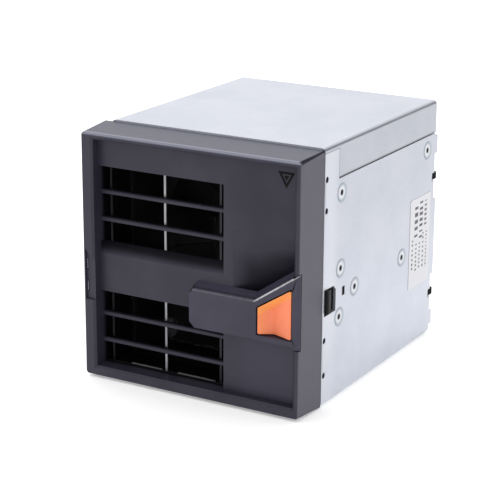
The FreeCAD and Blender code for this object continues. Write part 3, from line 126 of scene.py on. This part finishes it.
class Shader:
    """One material: a Principled surface and the nodes that feed it."""

    def __init__(self, name, **uniform):
        self.material = bpy.data.materials.new(name)
        self.material.use_nodes = True
        self.tree = self.material.node_tree
        self.surface = self.tree.nodes["Principled BSDF"]
        for socket, value in uniform.items():
            self.surface.inputs[socket.replace("_", " ")].default_value = value
        coordinates = self.node("ShaderNodeTexCoord", {}).out("Object")
        self.place = self.node("ShaderNodeVectorMath", {"operation": "SCALE"},
                               Vector=coordinates, Scale=1 / MM).out()

    def node(self, kind, settings, *values, **named):
        """Add a node, set it up, then fill its sockets with numbers or links."""
        node = self.tree.nodes.new(kind)
        for setting, value in settings.items():
            setattr(node, setting, value)
        pairs = list(enumerate(values)) + [(k.replace("_", " "), v) for k, v in named.items()]
        for key, value in pairs:
            self.feed(node.inputs[key], value)
        return Node(self, node)

    def feed(self, socket, value):
        if isinstance(value, Value):
            self.tree.links.new(value.socket, socket)
        else:
            socket.default_value = value

    def set(self, socket, value):
        self.feed(self.surface.inputs[socket], value)

    def noise(self, scale, stretch=(1, 1, 1), detail=3.0, roughness=0.5):
        """Noise whose features are about 1/scale millimetres across."""
        where = self.place
        if stretch != (1, 1, 1):
            where = self.node("ShaderNodeVectorMath", {"operation": "MULTIPLY"},
                              self.place, stretch).out()
        made = self.node("ShaderNodeTexNoise", {}, Vector=where, Scale=scale, Detail=detail,
                         Roughness=roughness)
        return made.out(0)

    def axes(self):
        """Place on the object in millimetres: across, back and up."""
        split = self.node("ShaderNodeSeparateXYZ", {}, self.place)
        return split.out("X"), split.out("Y"), split.out("Z")

    def blend(self, factor, first, last):
        """Colour between two colours."""
        made = self.node("ShaderNodeMix", {"data_type": "RGBA"})
        sockets = made.node.inputs
        for index, value in ((0, factor), (6, first), (7, last)):
            self.feed(sockets[index], value)
        return Value(self, made.node.outputs[2])

    def shade(self, amount):
        """Mix the surface with matte black, by an amount that varies over it."""
        matte = self.node("ShaderNodeBsdfPrincipled", {}, Base_Color=colour(0.002, 0.002, 0.003),
                          Roughness=0.9, Specular_IOR_Level=0.05).node
        mixed = self.node("ShaderNodeMixShader", {}, amount).node
        self.tree.links.new(self.surface.outputs[0], mixed.inputs[1])
        self.tree.links.new(matte.outputs[0], mixed.inputs[2])
        self.tree.links.new(mixed.outputs[0], self.tree.nodes["Material Output"].inputs["Surface"])

    def bump(self, height, strength, distance):
        """Raised relief: its strength, and the height in metres that 1 stands for."""
        return self.node("ShaderNodeBump", {}, Height=height, Strength=strength,
                         Distance=distance).out()


def colour(red, green, blue):
    return (red, green, blue, 1.0)


def dress(names, shader):
    """Give CAD nodes a material."""
    for name in names:
        node = nodes[name]
        node.data.materials.clear()
        node.data.materials.append(shader.material)


SHARP = math.radians(38.0)


def soften(names, width, segments=2):
    """Round edges sharper than SHARP so that they catch light, by a modifier only."""
    for name in names:
        weld = nodes[name].modifiers.new("weld", "WELD")
        weld.merge_threshold = 0.002 * MM
        bevel = nodes[name].modifiers.new("edge", "BEVEL")
        bevel.width = width * MM
        bevel.segments = segments
        bevel.limit_method = "ANGLE"
        bevel.angle_limit = SHARP
        bevel.use_clamp_overlap = True
        bevel.harden_normals = True


# front face of the rim, and the slot in the right wall: back and height
FRONT = -53.25
SLOT = (FRONT + 29.8, 37.73)
# where the cover's sheet meets the bezel's height, and the bands of painted shade at its bend and
# at the foot of its flap
SEAM = (88.2, 89.2)
BEND = (88.95, 89.2, 89.55, 89.8)
FLAP_FOOT = (78.6, 78.85)
# where the countersunk screws sit on the walls: back from the bezel's rim, and height
SCREWS = {
    "cover_front": (27.2, 72.7), "cover_rear": (95.9, 72.7), "latch_top": (27.4, 46.3),
    "latch_back": (38.3, 36.8), "latch_low": (26.9, 29.2), "fan_side": (76.2, 37.0),
}


def screw_distance(shader):
    """Distance from the axis of the nearest screw, in millimetres.

    The latch's three screws are on the right wall only.
    """
    across, back, up = shader.axes()
    nearest = None
    for screw, (y, z) in SCREWS.items():
        away = ((back - (y + FRONT)) ** 2.0 + (up - z) ** 2.0) ** 0.5
        if screw.startswith("latch"):
            away = away + (1 - across.step(0.0, 1.0)) * 20.0
        nearest = away if nearest is None else nearest.least(away)
    return nearest


def zinc(name, painted_light_tilt, walls):
    """Zinc plated sheet, with painted light that changes its brightness from the foot of the wall
    to the top.

    The walls have a pressed dimple round each screw with painted shade on its slope,
    and painted shade round the slot. The cover has painted shade along its bend and at its flap's
    foot.
    """
    shader = Shader(name, Metallic=0.85)
    cloud = shader.noise(0.05, detail=4.0, roughness=0.6)
    grain = shader.noise(1.0, stretch=(3.0, 0.12, 3.0), detail=4.0)
    speck = shader.noise(0.7, detail=2.0)
    across, back, up = shader.axes()
    shades = []
    # painted light: one tone at the foot of the wall and another at its top
    for share in painted_light_tilt:
        dull = colour(0.485 * share, 0.505 * share, 0.565 * share)
        fresh = colour(0.545 * share, 0.562 * share, 0.62 * share)
        shades.append(shader.blend(cloud.step(0.3, 0.72), dull, fresh))
    tone = shader.blend(up.step(8.0, 70.0), *shades)
    if not walls:
        # painted light: the cover's top is lighter than its flaps
        roof = shader.blend(cloud.step(0.3, 0.72), colour(0.475, 0.495, 0.555),
                            colour(0.535, 0.552, 0.61))
        tone = shader.blend(up.step(*SEAM), tone, roof)
        # painted shade along the cover's bend and at the foot of its flap
        bend_shade = up.step(*BEND[:2]) * (1 - up.step(*BEND[2:])) * abs(across).step(40.0, 40.4)
        painted_foot = 1 - up.step(*FLAP_FOOT)
        tone = shader.blend(bend_shade * 0.85 + painted_foot * 0.75, tone, colour(0.15, 0.155, 0.18))
    tone = shader.blend(grain.step(0.35, 0.75) * 0.16, tone, colour(0.64, 0.655, 0.705))
    tone = shader.blend(speck.step(0.62, 0.78) * 0.12, tone, colour(0.42, 0.44, 0.48))
    height = grain * 0.5 + cloud * 0.5
    if walls:
        # painted light: the walls are lighter near the front
        near_front_light = (1 - back.step(FRONT + 20.0, FRONT + 27.0)) * 0.4
        tone = shader.blend(near_front_light, tone, colour(0.66, 0.67, 0.715))
        ring = screw_distance(shader)
        # painted shade on the slope of each dimple
        band = 1 - abs(ring - 3.2).step(0.1, 0.5)
        dish = 1 - ring.step(3.0, 3.8)
        tone = shader.blend(band * 0.5, tone, colour(0.24, 0.31, 0.36))
        # painted shade round the slot in the right wall
        beside = 1 - abs(back - SLOT[0]).step(0.85, 1.15)
        level = 1 - abs(up - SLOT[1]).step(1.45, 1.75)
        slot_rim_shade = beside * level * across.step(0.0, 1.0)
        tone = shader.blend(slot_rim_shade, tone, colour(0.03, 0.03, 0.035))
        height = height - dish * 1.5
    shader.set("Base Color", tone)
    shader.set("Roughness", 0.36 + cloud * 0.16)
    shader.set("Normal", shader.bump(height, 0.25, 0.05 * MM))
    return shader


# painted light: the walls are lighter at the foot than at the top, and the cover's flaps darker
# than its top
steel = zinc("zinc_sheet", (1.1, 0.95), walls=True)
cover_steel = zinc("zinc_cover", (0.84, 0.84), walls=False)
dress(["chassis_shell"], steel)
dress(["top_cover"], cover_steel)
soften(["chassis_shell", "top_cover"], 0.14)


# ---- Bezel -----------------------------------------------------------------
# One injection moulding in charcoal ABS: flared rim, sunk panel, slats and the
# scoop above the handle. It has a fine etched texture and is pushed into the
# front of the steel box, where pegs snap into four small holes.

CHARCOAL = (0.024, 0.0225, 0.037)
# middle, half width and upper edge of the sunk panel
PANEL = (-0.8, 39.4, 86.1)


def moulding(name, base, roughness=0.42, grain=0.35, sheen=0.5, light_painting=None):
    """Moulded plastic with a fine etched grain and faint handling marks.

    A function may be given to paint light and shade onto the colour once more.
    """
    shader = Shader(name, Specular_IOR_Level=sheen)
    cloud = shader.noise(0.06, detail=3.0)
    etch = shader.noise(3.2, detail=2.0)
    rub = shader.noise(0.35, stretch=(1.0, 1.0, 0.3), detail=4.0, roughness=0.65)
    lighter = colour(*(min(1.0, c * 1.3 + 0.006) for c in base))
    tone = shader.blend(cloud.step(0.35, 0.7) * 0.55, colour(*base), lighter)
    tone = shader.blend(rub.step(0.66, 0.8) * 0.25, tone, lighter)
    if light_painting is not None:
        tone = light_painting(shader, tone)
    shader.set("Base Color", tone)
    shader.set("Roughness", roughness - 0.06 + etch * 0.1 + rub * 0.06)
    shader.set("Normal", shader.bump(etch, grain, 0.04 * MM))
    return shader


def bezel_painted_light(shader, tone):
    """Paint shade on what lies behind the rim, and paint light on the outer faces and the lip."""
    across, back, up = shader.axes()
    middle, half, top = PANEL
    within = 1 - abs(across - middle).step(half, half + 0.3)
    under = 1 - up.step(top, top + 0.3)
    sunk = within * under * back.step(FRONT + 3.7, FRONT + 3.95)
    # painted shade behind the slats, in the scoop, on the bar's slope, and on the upper right of
    # the panel
    right = across.step(12.5, 20.0)
    depth = back.step(FRONT + 4.6, FRONT + 7.4) * (1 - right * 0.5)
    hollow = (1 - up.step(47.0, 58.0)) * up.step(38.0, 40.0) * right * 0.55
    bar = up.step(45.1, 45.5) * (1 - up.step(49.0, 49.4)) * (1 - across.step(9.9, 10.2))
    slope = back.step(FRONT + 3.95, FRONT + 5.2) * bar * 0.8
    upper_panel_shade = across.step(4.0, 24.0) * up.step(30.0, 60.0) * 0.12
    # painted shade on the rim's upper right corner and right front edge
    facing = shader.node("ShaderNodeSeparateXYZ", {},
                         shader.node("ShaderNodeTexCoord", {}).out("Normal"))
    upper = facing.out("Z").step(0.1, 0.28) * up.step(80.0, 82.0)
    front = (facing.out("Y") * -1.0).step(0.2, 0.4)
    corner = facing.out("X").step(0.1, 0.28) * across.step(38.8, 39.2) * upper.most(front)
    shader.shade((depth.most(hollow).most(slope).most(upper_panel_shade) * sunk).most(corner * 0.75))
    # painted light: the foot of the panel's right part is lighter
    painted_foot = (1 - up.step(22.0, 34.0)) * right * sunk
    tone = shader.blend(painted_foot, tone, colour(*(c * 1.5 for c in CHARCOAL)))
    # painted light: the outer side face and the top face are lighter
    tone = shader.blend(across.step(40.3, 40.7), tone, colour(0.078, 0.075, 0.097))
    tone = shader.blend(up.step(87.3, 87.7), tone, colour(0.077, 0.077, 0.110))
    # painted highlight along the lip
    lip_highlight = up.step(87.6, 87.9) * (1 - back.step(FRONT + 0.8, FRONT + 1.1))
    return shader.blend(lip_highlight, tone, colour(0.20, 0.205, 0.26))


charcoal = moulding("charcoal_moulding", CHARCOAL, sheen=0.3, light_painting=bezel_painted_light)
dress(["front_bezel"], charcoal)
soften(["front_bezel"], 0.3)


def new_piece(name, mesh, shader):
    """Turn a bmesh in millimetres from the origin into a piece of the module's body."""
    bmesh.ops.recalc_face_normals(mesh, faces=mesh.faces)
    data = bpy.data.meshes.new(name)
    for vertex in mesh.verts:
        vertex.co *= MM
    mesh.to_mesh(data)
    mesh.free()
    data.materials.append(shader.material)
    piece = bpy.data.objects.new(name, data)
    bpy.context.collection.objects.link(piece)
    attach(piece, "module")
    return piece


def prism(mesh, outline, direction):
    """Close a flat outline into a solid along a direction."""
    base = mesh.faces.new([mesh.verts.new(point) for point in outline])
    grown = bmesh.ops.extrude_face_region(mesh, geom=[base])
    moved = [v for v in grown["geom"] if isinstance(v, bmesh.types.BMVert)]
    bmesh.ops.translate(mesh, vec=Vector(direction), verts=moved)
    return mesh


def frame_prism(mesh, outer, inner, direction):
    """Solid between two outlines with the same number of corners."""
    rings = []
    for shift in (Vector((0, 0, 0)), Vector(direction)):
        for outline in (outer, inner):
            rings.append([mesh.verts.new(Vector(point) + shift) for point in outline])
    low_out, low_in, high_out, high_in = rings
    count = len(outer)
    for i in range(count):
        j = (i + 1) % count
        for a, b in ((low_out, low_in), (high_in, high_out), (high_out, low_out),
                     (low_in, high_in)):
            mesh.faces.new((a[i], a[j], b[j], b[i]))
    return mesh


# moulded triangle on the panel: an outline with a small solid one in its middle
PANEL_FACE = FRONT + 4.02
MARK = [(30.3, 83.6), (36.4, 83.6), (33.35, 78.2)]
MARK_STANDS = (0, -0.12, 0)


def shrunk_mark(share):
    """The triangle's corners on the panel, drawn in towards its middle."""
    middle = Vector((sum(p[0] for p in MARK) / 3, sum(p[1] for p in MARK) / 3))
    points = [middle + (Vector(corner) - middle) * share for corner in MARK]
    return [(point.x, PANEL_FACE, point.y) for point in points]


matt_black = moulding("mark_moulding", (0.004, 0.004, 0.005), roughness=0.7, grain=0.2, sheen=0.1)
mark_mesh = frame_prism(bmesh.new(), shrunk_mark(1.0), shrunk_mark(0.6), MARK_STANDS)
prism(mark_mesh, shrunk_mark(0.3), MARK_STANDS)
new_piece("panel_mark", mark_mesh, matt_black)

# two steel tongues of the inner clip show through slots in the left rim's recess; black plates
# behind them are painted shade in the slots
CLIP = -43.1
tongues = bmesh.new()
slot_shade_plates = bmesh.new()
for height in (41.4, 33.4):
    # half width, half height, how far behind the rim, and how far it stands forward
    for mesh, half, reach, face, deep in ((tongues, 0.15, 1.7, 0.82, -0.14),
                                          (slot_shade_plates, 0.42, 2.05, 0.83, -0.05)):
        prism(mesh, [(CLIP - half, FRONT + face, height - reach),
                     (CLIP + half, FRONT + face, height - reach),
                     (CLIP + half, FRONT + face, height + reach),
                     (CLIP - half, FRONT + face, height + reach)], (0, deep, 0))
new_piece("clip_tongues", tongues, cover_steel)
new_piece("clip_slot_shade", slot_shade_plates, matt_black)


# pegs of the bezel and a rib of the latch housing fill the openings in the right wall; drawn matt
# black, they also paint the shade in the openings
WAIST = 44.73
PEG_BACK = FRONT + 16.5
PEG_FROM, PEG_LONG, PEG_SIDES = 39.1, 2.4, 20
RIB_FROM, RIB_LONG = 40.66, 0.8
plugs = bmesh.new()
for offset in (34.6, 24.0, -21.1, -33.5):
    ring = []
    for step in range(PEG_SIDES):
        angle = math.radians(360 / PEG_SIDES * step)
        ring.append((PEG_FROM, PEG_BACK + math.cos(angle), WAIST + offset + math.sin(angle)))
    prism(plugs, ring, (PEG_LONG, 0, 0))
rib = [(RIB_FROM, SLOT[0] + wide * 0.55, SLOT[1] + tall * 1.35)
       for wide, tall in ((-1, -1), (1, -1), (1, 1), (-1, 1))]
prism(plugs, rib, (RIB_LONG, 0, 0))
new_piece("wall_pegs", plugs, matt_black)


# ---- Inlet guard -----------------------------------------------------------
# A thin steel stamping lies against the back of the slats. Its middle rib is
# bare and bright; the outer two and the foot of the sheet are painted near black as shade.

RIB = -15.1


def stamping(name):
    shader = Shader(name, Metallic=0.9)
    across, back, up = shader.axes()
    stain = shader.noise(0.4, stretch=(1.0, 1.0, 0.3), detail=3.0)
    # painted shade: the outer ribs
    outer = abs(across - RIB).step(18.5, 20.5)
    tone = shader.blend(stain.step(0.3, 0.7), colour(0.22, 0.225, 0.235), colour(0.36, 0.365, 0.38))
    lips = 1 - up.step(5.3, 5.6)
    tone = shader.blend(lips, tone, colour(0.30, 0.29, 0.28))
    # painted shade: near black on the outer ribs and the foot of the sheet
    edge = 1 - up.step(4.75, 4.95)
    tone = shader.blend(outer.most(edge), tone, colour(0.03, 0.03, 0.034))
    shader.set("Base Color", tone)
    shader.set("Roughness", 0.3 + stain * 0.2)
    shader.set("Normal", shader.bump(stain, 0.2, 0.03 * MM))
    return shader


dress(["inlet_guard"], stamping("guard_stamping"))


# ---- Intake duct -----------------------------------------------------------
# Thin black moulded liner that carries the air from the slats to the first fan.
# It is pushed in between the floor and the cover, and is open to the latch.

liner = moulding("duct_moulding", (0.004, 0.004, 0.005), roughness=0.7, grain=0.4, sheen=0.1)
dress(["intake_duct"], liner)


# ---- Pull handle -----------------------------------------------------------
# A separate charcoal moulding across the panel. Its slanted top edge gives the
# fingers a grip above the button, and carries a painted highlight there.

# where the level top edge turns into the slant, and the slant's rise
GRIP_START = (23.95, 39.5)
GRIP_RISE = 11.5 / 16.85


def handle_painted_light(shader, base):
    """Paint a highlight on the narrow edge where fingers pull, up the slant and along the side, and
    painted shade on the top face and its left end.
    """
    across, back, up = shader.axes()
    start, level = GRIP_START
    line = level + (across - start) * GRIP_RISE
    edge = abs(up - line.most(level)) * math.cos(math.atan(GRIP_RISE))
    patch = shader.noise(0.5, detail=3.0).step(0.3, 0.6)
    # painted highlight along the slanted edge and the side
    close = (1 - edge.step(0.12, 0.42)) * (1 - back.step(FRONT + 0.3, FRONT + 0.9))
    slant = across.step(start - 1.0, start + 1.0)
    amount = close * (slant * 0.75 + 0.10) * (patch * 0.4 + 0.6)
    # painted shadow at the top of the handle's left end
    left_end_shade = (1 - across.step(-0.5, 0.0)) * up.step(38.2, 38.5)
    base = shader.blend(left_end_shade, base, colour(0.003, 0.003, 0.004))
    # painted shade on the top face, broken up by noise
    ledge = (1 - edge.step(0.3, 0.8)) * back.step(FRONT + 0.5, FRONT + 1.0)
    ledge_shade_noise = shader.noise(1.1, detail=3.0).step(0.4, 0.7)
    shader.shade(ledge * (0.55 - ledge_shade_noise * 0.2))
    return shader.blend(amount, base, colour(0.62, 0.62, 0.66))


handle_plastic = moulding("handle_moulding", (0.032, 0.030, 0.050), roughness=0.38, sheen=0.3,
                          light_painting=handle_painted_light)
dress(["pull_handle"], handle_plastic)
soften(["pull_handle"], 0.35, segments=3)


# ---- Release button --------------------------------------------------------
# Orange moulding, the colour used for parts that may be worked while the
# enclosure is running. A faceted hollow takes the thumb.

# left end of the slanted top edge, and its rise
BUTTON_EDGE = (25.05, 37.23)
BUTTON_RISE = 0.64


def button_painted_light(shader, base):
    """Paint light on the button: a yellow highlight on the upper facet, and the left part lighter.
    """
    across, back, up = shader.axes()
    below = BUTTON_EDGE[1] + (across - BUTTON_EDGE[0]) * BUTTON_RISE - up
    patch = shader.noise(0.9, detail=3.0).step(0.35, 0.65)
    facet_highlight = (1 - below.step(2.2, 3.0)) * (0.6 + patch * 0.4)
    left = 1 - across.step(25.8, 29.5)
    # painted highlight on the upper facet, and painted light on the left part
    base = shader.blend(facet_highlight * 0.8, base, colour(0.86, 0.30, 0.035))
    return shader.blend(left * 0.3, base, colour(0.80, 0.26, 0.05))


orange = moulding("orange_moulding", (0.80, 0.20, 0.085), roughness=0.4, grain=0.15,
                  light_painting=button_painted_light)
dress(["release_button"], orange)
soften(["release_button"], 0.22)


# ---- Latch -----------------------------------------------------------------
# The slide, its hook and the housing are black acetal, which runs dry against
# itself. The spring is plain music wire, and shortens as the slide is drawn in.

black = moulding("black_acetal", (0.005, 0.005, 0.006), roughness=0.45, grain=0.2, sheen=0.25)
dress(["latch_slide", "latch_housing"], black)
soften(["latch_slide"], 0.2)


def metal(name, base, roughness=0.3, scale=2.0):
    """Bare or plated metal with fine turning marks and slight staining."""
    shader = Shader(name, Metallic=1.0)
    fine = shader.noise(scale, stretch=(1.0, 0.2, 1.0), detail=3.0)
    stain = shader.noise(0.12, detail=3.0)
    darker = colour(*(c * 0.72 for c in base))
    shader.set("Base Color", shader.blend(stain.step(0.35, 0.75) * 0.5, colour(*base), darker))
    shader.set("Roughness", roughness + fine * 0.12)
    shader.set("Normal", shader.bump(fine, 0.2, 0.02 * MM))
    return shader


wire = metal("music_wire", (0.42, 0.42, 0.43), roughness=0.28, scale=6.0)
dress(["latch_spring"], wire)
# the drawn spring, a copy with a mesh of its own, stands in for the fitted one
fitted = nodes["latch_spring"]
coil = bpy.data.objects.new("coil_spring", fitted.data.copy())
bpy.context.collection.objects.link(coil)
coil.matrix_world = fitted.matrix_world
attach(coil, "module")
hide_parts("latch_spring")
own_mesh(coil)


# ---- Fans ------------------------------------------------------------------
# Two 80 mm fans are bolted back to back and turn opposite ways. Frames and
# impellers are glass filled black plastic; the motors have a pressed steel
# yoke with a ferrite ring, turning round a wound core on ball bearings.

fan_plastic = moulding("fan_moulding", (0.006, 0.006, 0.007), roughness=0.62, grain=0.3, sheen=0.12)
pressed = metal("pressed_steel", (0.50, 0.51, 0.53), roughness=0.34)
ground = metal("ground_steel", (0.66, 0.67, 0.69), roughness=0.18, scale=5.0)
ferrite = moulding("ferrite_ring", (0.045, 0.045, 0.05), roughness=0.62, grain=0.5)


def winding():
    """Enamelled copper wire laid side by side round each tooth."""
    shader = Shader("copper_winding", Metallic=1.0)
    wave = shader.node("ShaderNodeTexWave", {"wave_type": "RINGS", "rings_direction": "Y"},
                       Vector=shader.place, Scale=1.1, Distortion=0.4).out("Fac")
    uneven = shader.noise(0.5)
    tone = shader.blend(wave * 0.7, colour(0.60, 0.22, 0.09), colour(0.86, 0.42, 0.20))
    shader.set("Base Color", tone)
    shader.set("Roughness", 0.25 + uneven * 0.2)
    shader.set("Normal", shader.bump(wave, 0.6, 0.15 * MM))
    return shader


def board_material():
    """Green solder mask over copper tracks that run in straight steps."""
    shader = Shader("solder_mask", Coat_Weight=0.4)
    brick = shader.node("ShaderNodeTexBrick", {"offset": 0.5}, Vector=shader.place,
                        Scale=0.45, Mortar_Size=0.05, Brick_Width=0.9, Row_Height=0.35)
    tracks = brick.out("Fac")
    mottle = shader.noise(0.3)
    tone = shader.blend(tracks * 0.8, colour(0.012, 0.10, 0.04), colour(0.04, 0.20, 0.09))
    tone = shader.blend(mottle.step(0.5, 0.8) * 0.3, tone, colour(0.01, 0.07, 0.03))
    shader.set("Base Color", tone)
    shader.set("Roughness", 0.28 + mottle * 0.12)
    shader.set("Normal", shader.bump(tracks, 0.4, 0.05 * MM))
    return shader


copper = winding()
mask = board_material()
FAN_PARTS = (
    ("_frame", fan_plastic, "fan_black"), ("_impeller", fan_plastic, "fan_black"),
    ("_rotor_yoke", pressed, "core_steel"), ("_stator_core", pressed, "core_steel"),
    ("_rotor_magnet", ferrite, "magnet_dark"), ("_bearings", ground, "bearing_steel"),
    ("_shaft", ground, "bearing_steel"), ("_stator_coils", copper, "copper"),
    ("_motor_board", mask, "board_green"))
for fan in ("front_fan", "rear_fan"):
    for part, shader, slot in FAN_PARTS:
        dress([fan + part], shader)

plated = metal("plated_fixings", (0.74, 0.75, 0.78), roughness=0.3)
dress(["fan_bolts", "fan_nuts"], plated)
foam = moulding("foam_rubber", (0.018, 0.018, 0.018), roughness=0.85, grain=1.0, sheen=0.2)
dress(["fan_pads"], foam)


# ---- Control board and plug ------------------------------------------------
# The board above the fans sets their speed and reports it through the plug at
# the rear, which meets its mate blind when the module slides home.

dress(["control_board"], mask)
nylon = moulding("natural_nylon", (0.70, 0.69, 0.64), roughness=0.45)
dress(["board_spacers"], nylon)
dress(["rear_plug"], black)
soften(["rear_plug"], 0.15)
plating = metal("contact_plating", (0.86, 0.66, 0.30), roughness=0.2, scale=4.0)
dress(["plug_contacts"], plating)


# ---- Rear guard ------------------------------------------------------------
# Black moulded frame with rings and spokes. Four arms snap into notches in the
# rear edges of the walls and show there as black tips.

dress(["rear_guard"], moulding("guard_moulding", (0.003, 0.003, 0.004), roughness=0.75,
                               grain=0.3, sheen=0.1))
soften(["rear_guard"], 0.2)


# ---- Screws ----------------------------------------------------------------
# M3 countersunk steel screws with a hexalobular recess, zinc plated, set flush
# in pressed dimples.


def screw_finish():
    """Bright zinc head; the recess is darkened with painted shade."""
    shader = Shader("screw_zinc", Metallic=0.6)
    fine = shader.noise(5.0, detail=3.0)
    away = screw_distance(shader)
    recess_shade = 1 - away.step(0.9, 1.25)
    rim = away.step(1.8, 2.7)
    tone = shader.blend(fine * 0.2, colour(0.60, 0.62, 0.66), colour(0.50, 0.52, 0.56))
    tone = shader.blend(rim * 0.8, tone, colour(0.30, 0.345, 0.38))
    # painted shade in the recess
    tone = shader.blend(recess_shade, tone, colour(0.14, 0.14, 0.15))
    shader.set("Base Color", tone)
    shader.set("Roughness", 0.3 + fine * 0.12 + recess_shade * 0.3)
    shader.set("Normal", shader.bump(fine, 0.15, 0.02 * MM))
    return shader


dress(["latch_screws", "cover_screws", "fan_side_screws"], screw_finish())


# ---- Label -----------------------------------------------------------------
# White polyester label stuck on the right wall near the rear. It is printed with
# rows of plain dashes only.

# outer face of the right wall
WALL = 41.65
# back from the rim, from and to; height, from and to
LABEL = (82.7, 100.0, 22.4, 56.4)
LABEL_CORNER = 0.8
LABEL_THICK = 0.1
# rows of dashes: place, half width, ends, dash length and strength of ink
PRINT = ((88.0, 1.4, 41.5, 54.0, 1.3, 1.0), (92.2, 1.4, 40.5, 54.4, 1.1, 1.0),
         (96.0, 1.0, 43.5, 54.0, 0.9, 0.9),
         (85.2, 0.6, 29.5, 41.0, 0.9, 0.9), (88.4, 0.6, 28.5, 40.0, 0.8, 0.9),
         (91.4, 0.6, 29.0, 39.4, 0.75, 0.85), (94.4, 0.6, 28.0, 42.0, 0.9, 0.85),
         (97.2, 0.5, 28.0, 42.0, 0.7, 0.8))


def label_material():
    """White film printed with rows of plain dashes, no lettering."""
    shader = Shader("label_film", Coat_Weight=0.2)
    across, back, up = shader.axes()
    fibre = shader.noise(1.5)
    patches = shader.noise(0.9, stretch=(1.0, 0.05, 1.0), detail=1.0) * 3.0 - 1.5
    ink = None
    for line, half, low, high, dash, dark in PRINT:
        band = 1 - abs(back - (line + FRONT)).step(half - 0.1, half + 0.1)
        span = up.step(low - 0.1, low + 0.1) * (1 - up.step(high - 0.1, high + 0.1))
        wave = shader.node("ShaderNodeMath", {"operation": "SINE"},
                           up * (math.pi / dash) + line).out()
        mark = band * span * (wave + patches).step(-0.25, 0.25) * dark
        ink = mark if ink is None else ink.most(mark)
    tone = shader.blend(fibre * 0.2, colour(0.64, 0.64, 0.67), colour(0.57, 0.57, 0.61))
    tone = shader.blend(ink, tone, colour(0.02, 0.02, 0.025))
    shader.set("Base Color", tone)
    shader.set("Roughness", 0.4 + fibre * 0.1)
    shader.set("Normal", shader.bump(fibre, 0.1, 0.02 * MM))
    return shader


def rounded(low_a, high_a, low_b, high_b, radius, steps=5):
    """Outline of a rectangle with rounded corners, each an arc in equal steps."""
    low_a, high_a = low_a + radius, high_a - radius
    low_b, high_b = low_b + radius, high_b - radius
    points = []
    for a, b, start in ((high_a, high_b, 0), (low_a, high_b, 90), (low_a, low_b, 180),
                        (high_a, low_b, 270)):
        for step in range(steps + 1):
            angle = math.radians(start + 90 * step / steps)
            points.append((a + radius * math.cos(angle), b + radius * math.sin(angle)))
    return points


label_edge = [(WALL + 0.02, y + FRONT, z) for y, z in rounded(*LABEL, LABEL_CORNER)]
label_mesh = prism(bmesh.new(), label_edge, (LABEL_THICK, 0, 0))
new_piece("side_label", label_mesh, label_material())


# ---- Setting ---------------------------------------------------------------
# The module stands on a white table in an even white studio tent, with one
# broad soft light above and to the left of the front.

floor_mesh = bmesh.new()
bmesh.ops.create_grid(floor_mesh, x_segments=1, y_segments=1, size=3.0)
floor_data = bpy.data.meshes.new("floor")
floor_mesh.to_mesh(floor_data)
floor_mesh.free()
floor = bpy.data.objects.new("floor", floor_data)
bpy.context.collection.objects.link(floor)
floor.location.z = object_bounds()[0][2] - 0.0002
table_top = bpy.data.materials.new("table_top")
table_top.use_nodes = True
laminate = table_top.node_tree.nodes["Principled BSDF"].inputs
laminate["Base Color"].default_value = (0.93, 0.93, 0.93, 1)
laminate["Roughness"].default_value = 0.9
laminate["Emission Strength"].default_value = 0.30
laminate["Emission Color"].default_value = (1, 1, 1, 1)
floor_data.materials.append(table_top)

world = bpy.data.worlds.new("tent")
world.use_nodes = True
cloth = world.node_tree.nodes["Background"].inputs
cloth["Color"].default_value = (1.0, 1.0, 1.0, 1)
cloth["Strength"].default_value = 0.95
bpy.context.scene.world = world
bpy.context.scene.view_settings.view_transform = "Standard"


def soft_light(name, place, target, size, power):
    """Square area light in metres and watts, turned towards a point."""
    data = bpy.data.lights.new(name, "AREA")
    data.size = size
    data.energy = power
    light = bpy.data.objects.new(name, data)
    bpy.context.collection.objects.link(light)
    light.location = place
    aim = Vector(target) - Vector(place)
    light.rotation_euler = aim.to_track_quat("-Z", "Y").to_euler()


soft_light("top_light", (-0.25, 0.1, 0.9), (0, 0, 0.04), 0.9, 3.0)
soft_light("back_light", (-0.6, 1.1, 0.75), (0, 0, 0.05), 1.0, 1.4)

# the camera's own axes, and its place in metres
right = Vector((0.8663, 0.4996, 0.006))
down = Vector((0.1503, -0.2491, -0.9568))
ahead = Vector((-0.4765, 0.8297, -0.2908))
place = (0.28380, -0.50868, 0.21814)
camera_data = bpy.data.cameras.new("camera")
camera_data.sensor_width = 36.0
camera_data.lens = 121.3
camera = bpy.data.objects.new("camera", camera_data)
bpy.context.collection.objects.link(camera)
turn = Matrix((right, -down, -ahead)).transposed().to_4x4()
camera.matrix_world = Matrix.Translation(place) @ turn
bpy.context.scene.camera = camera
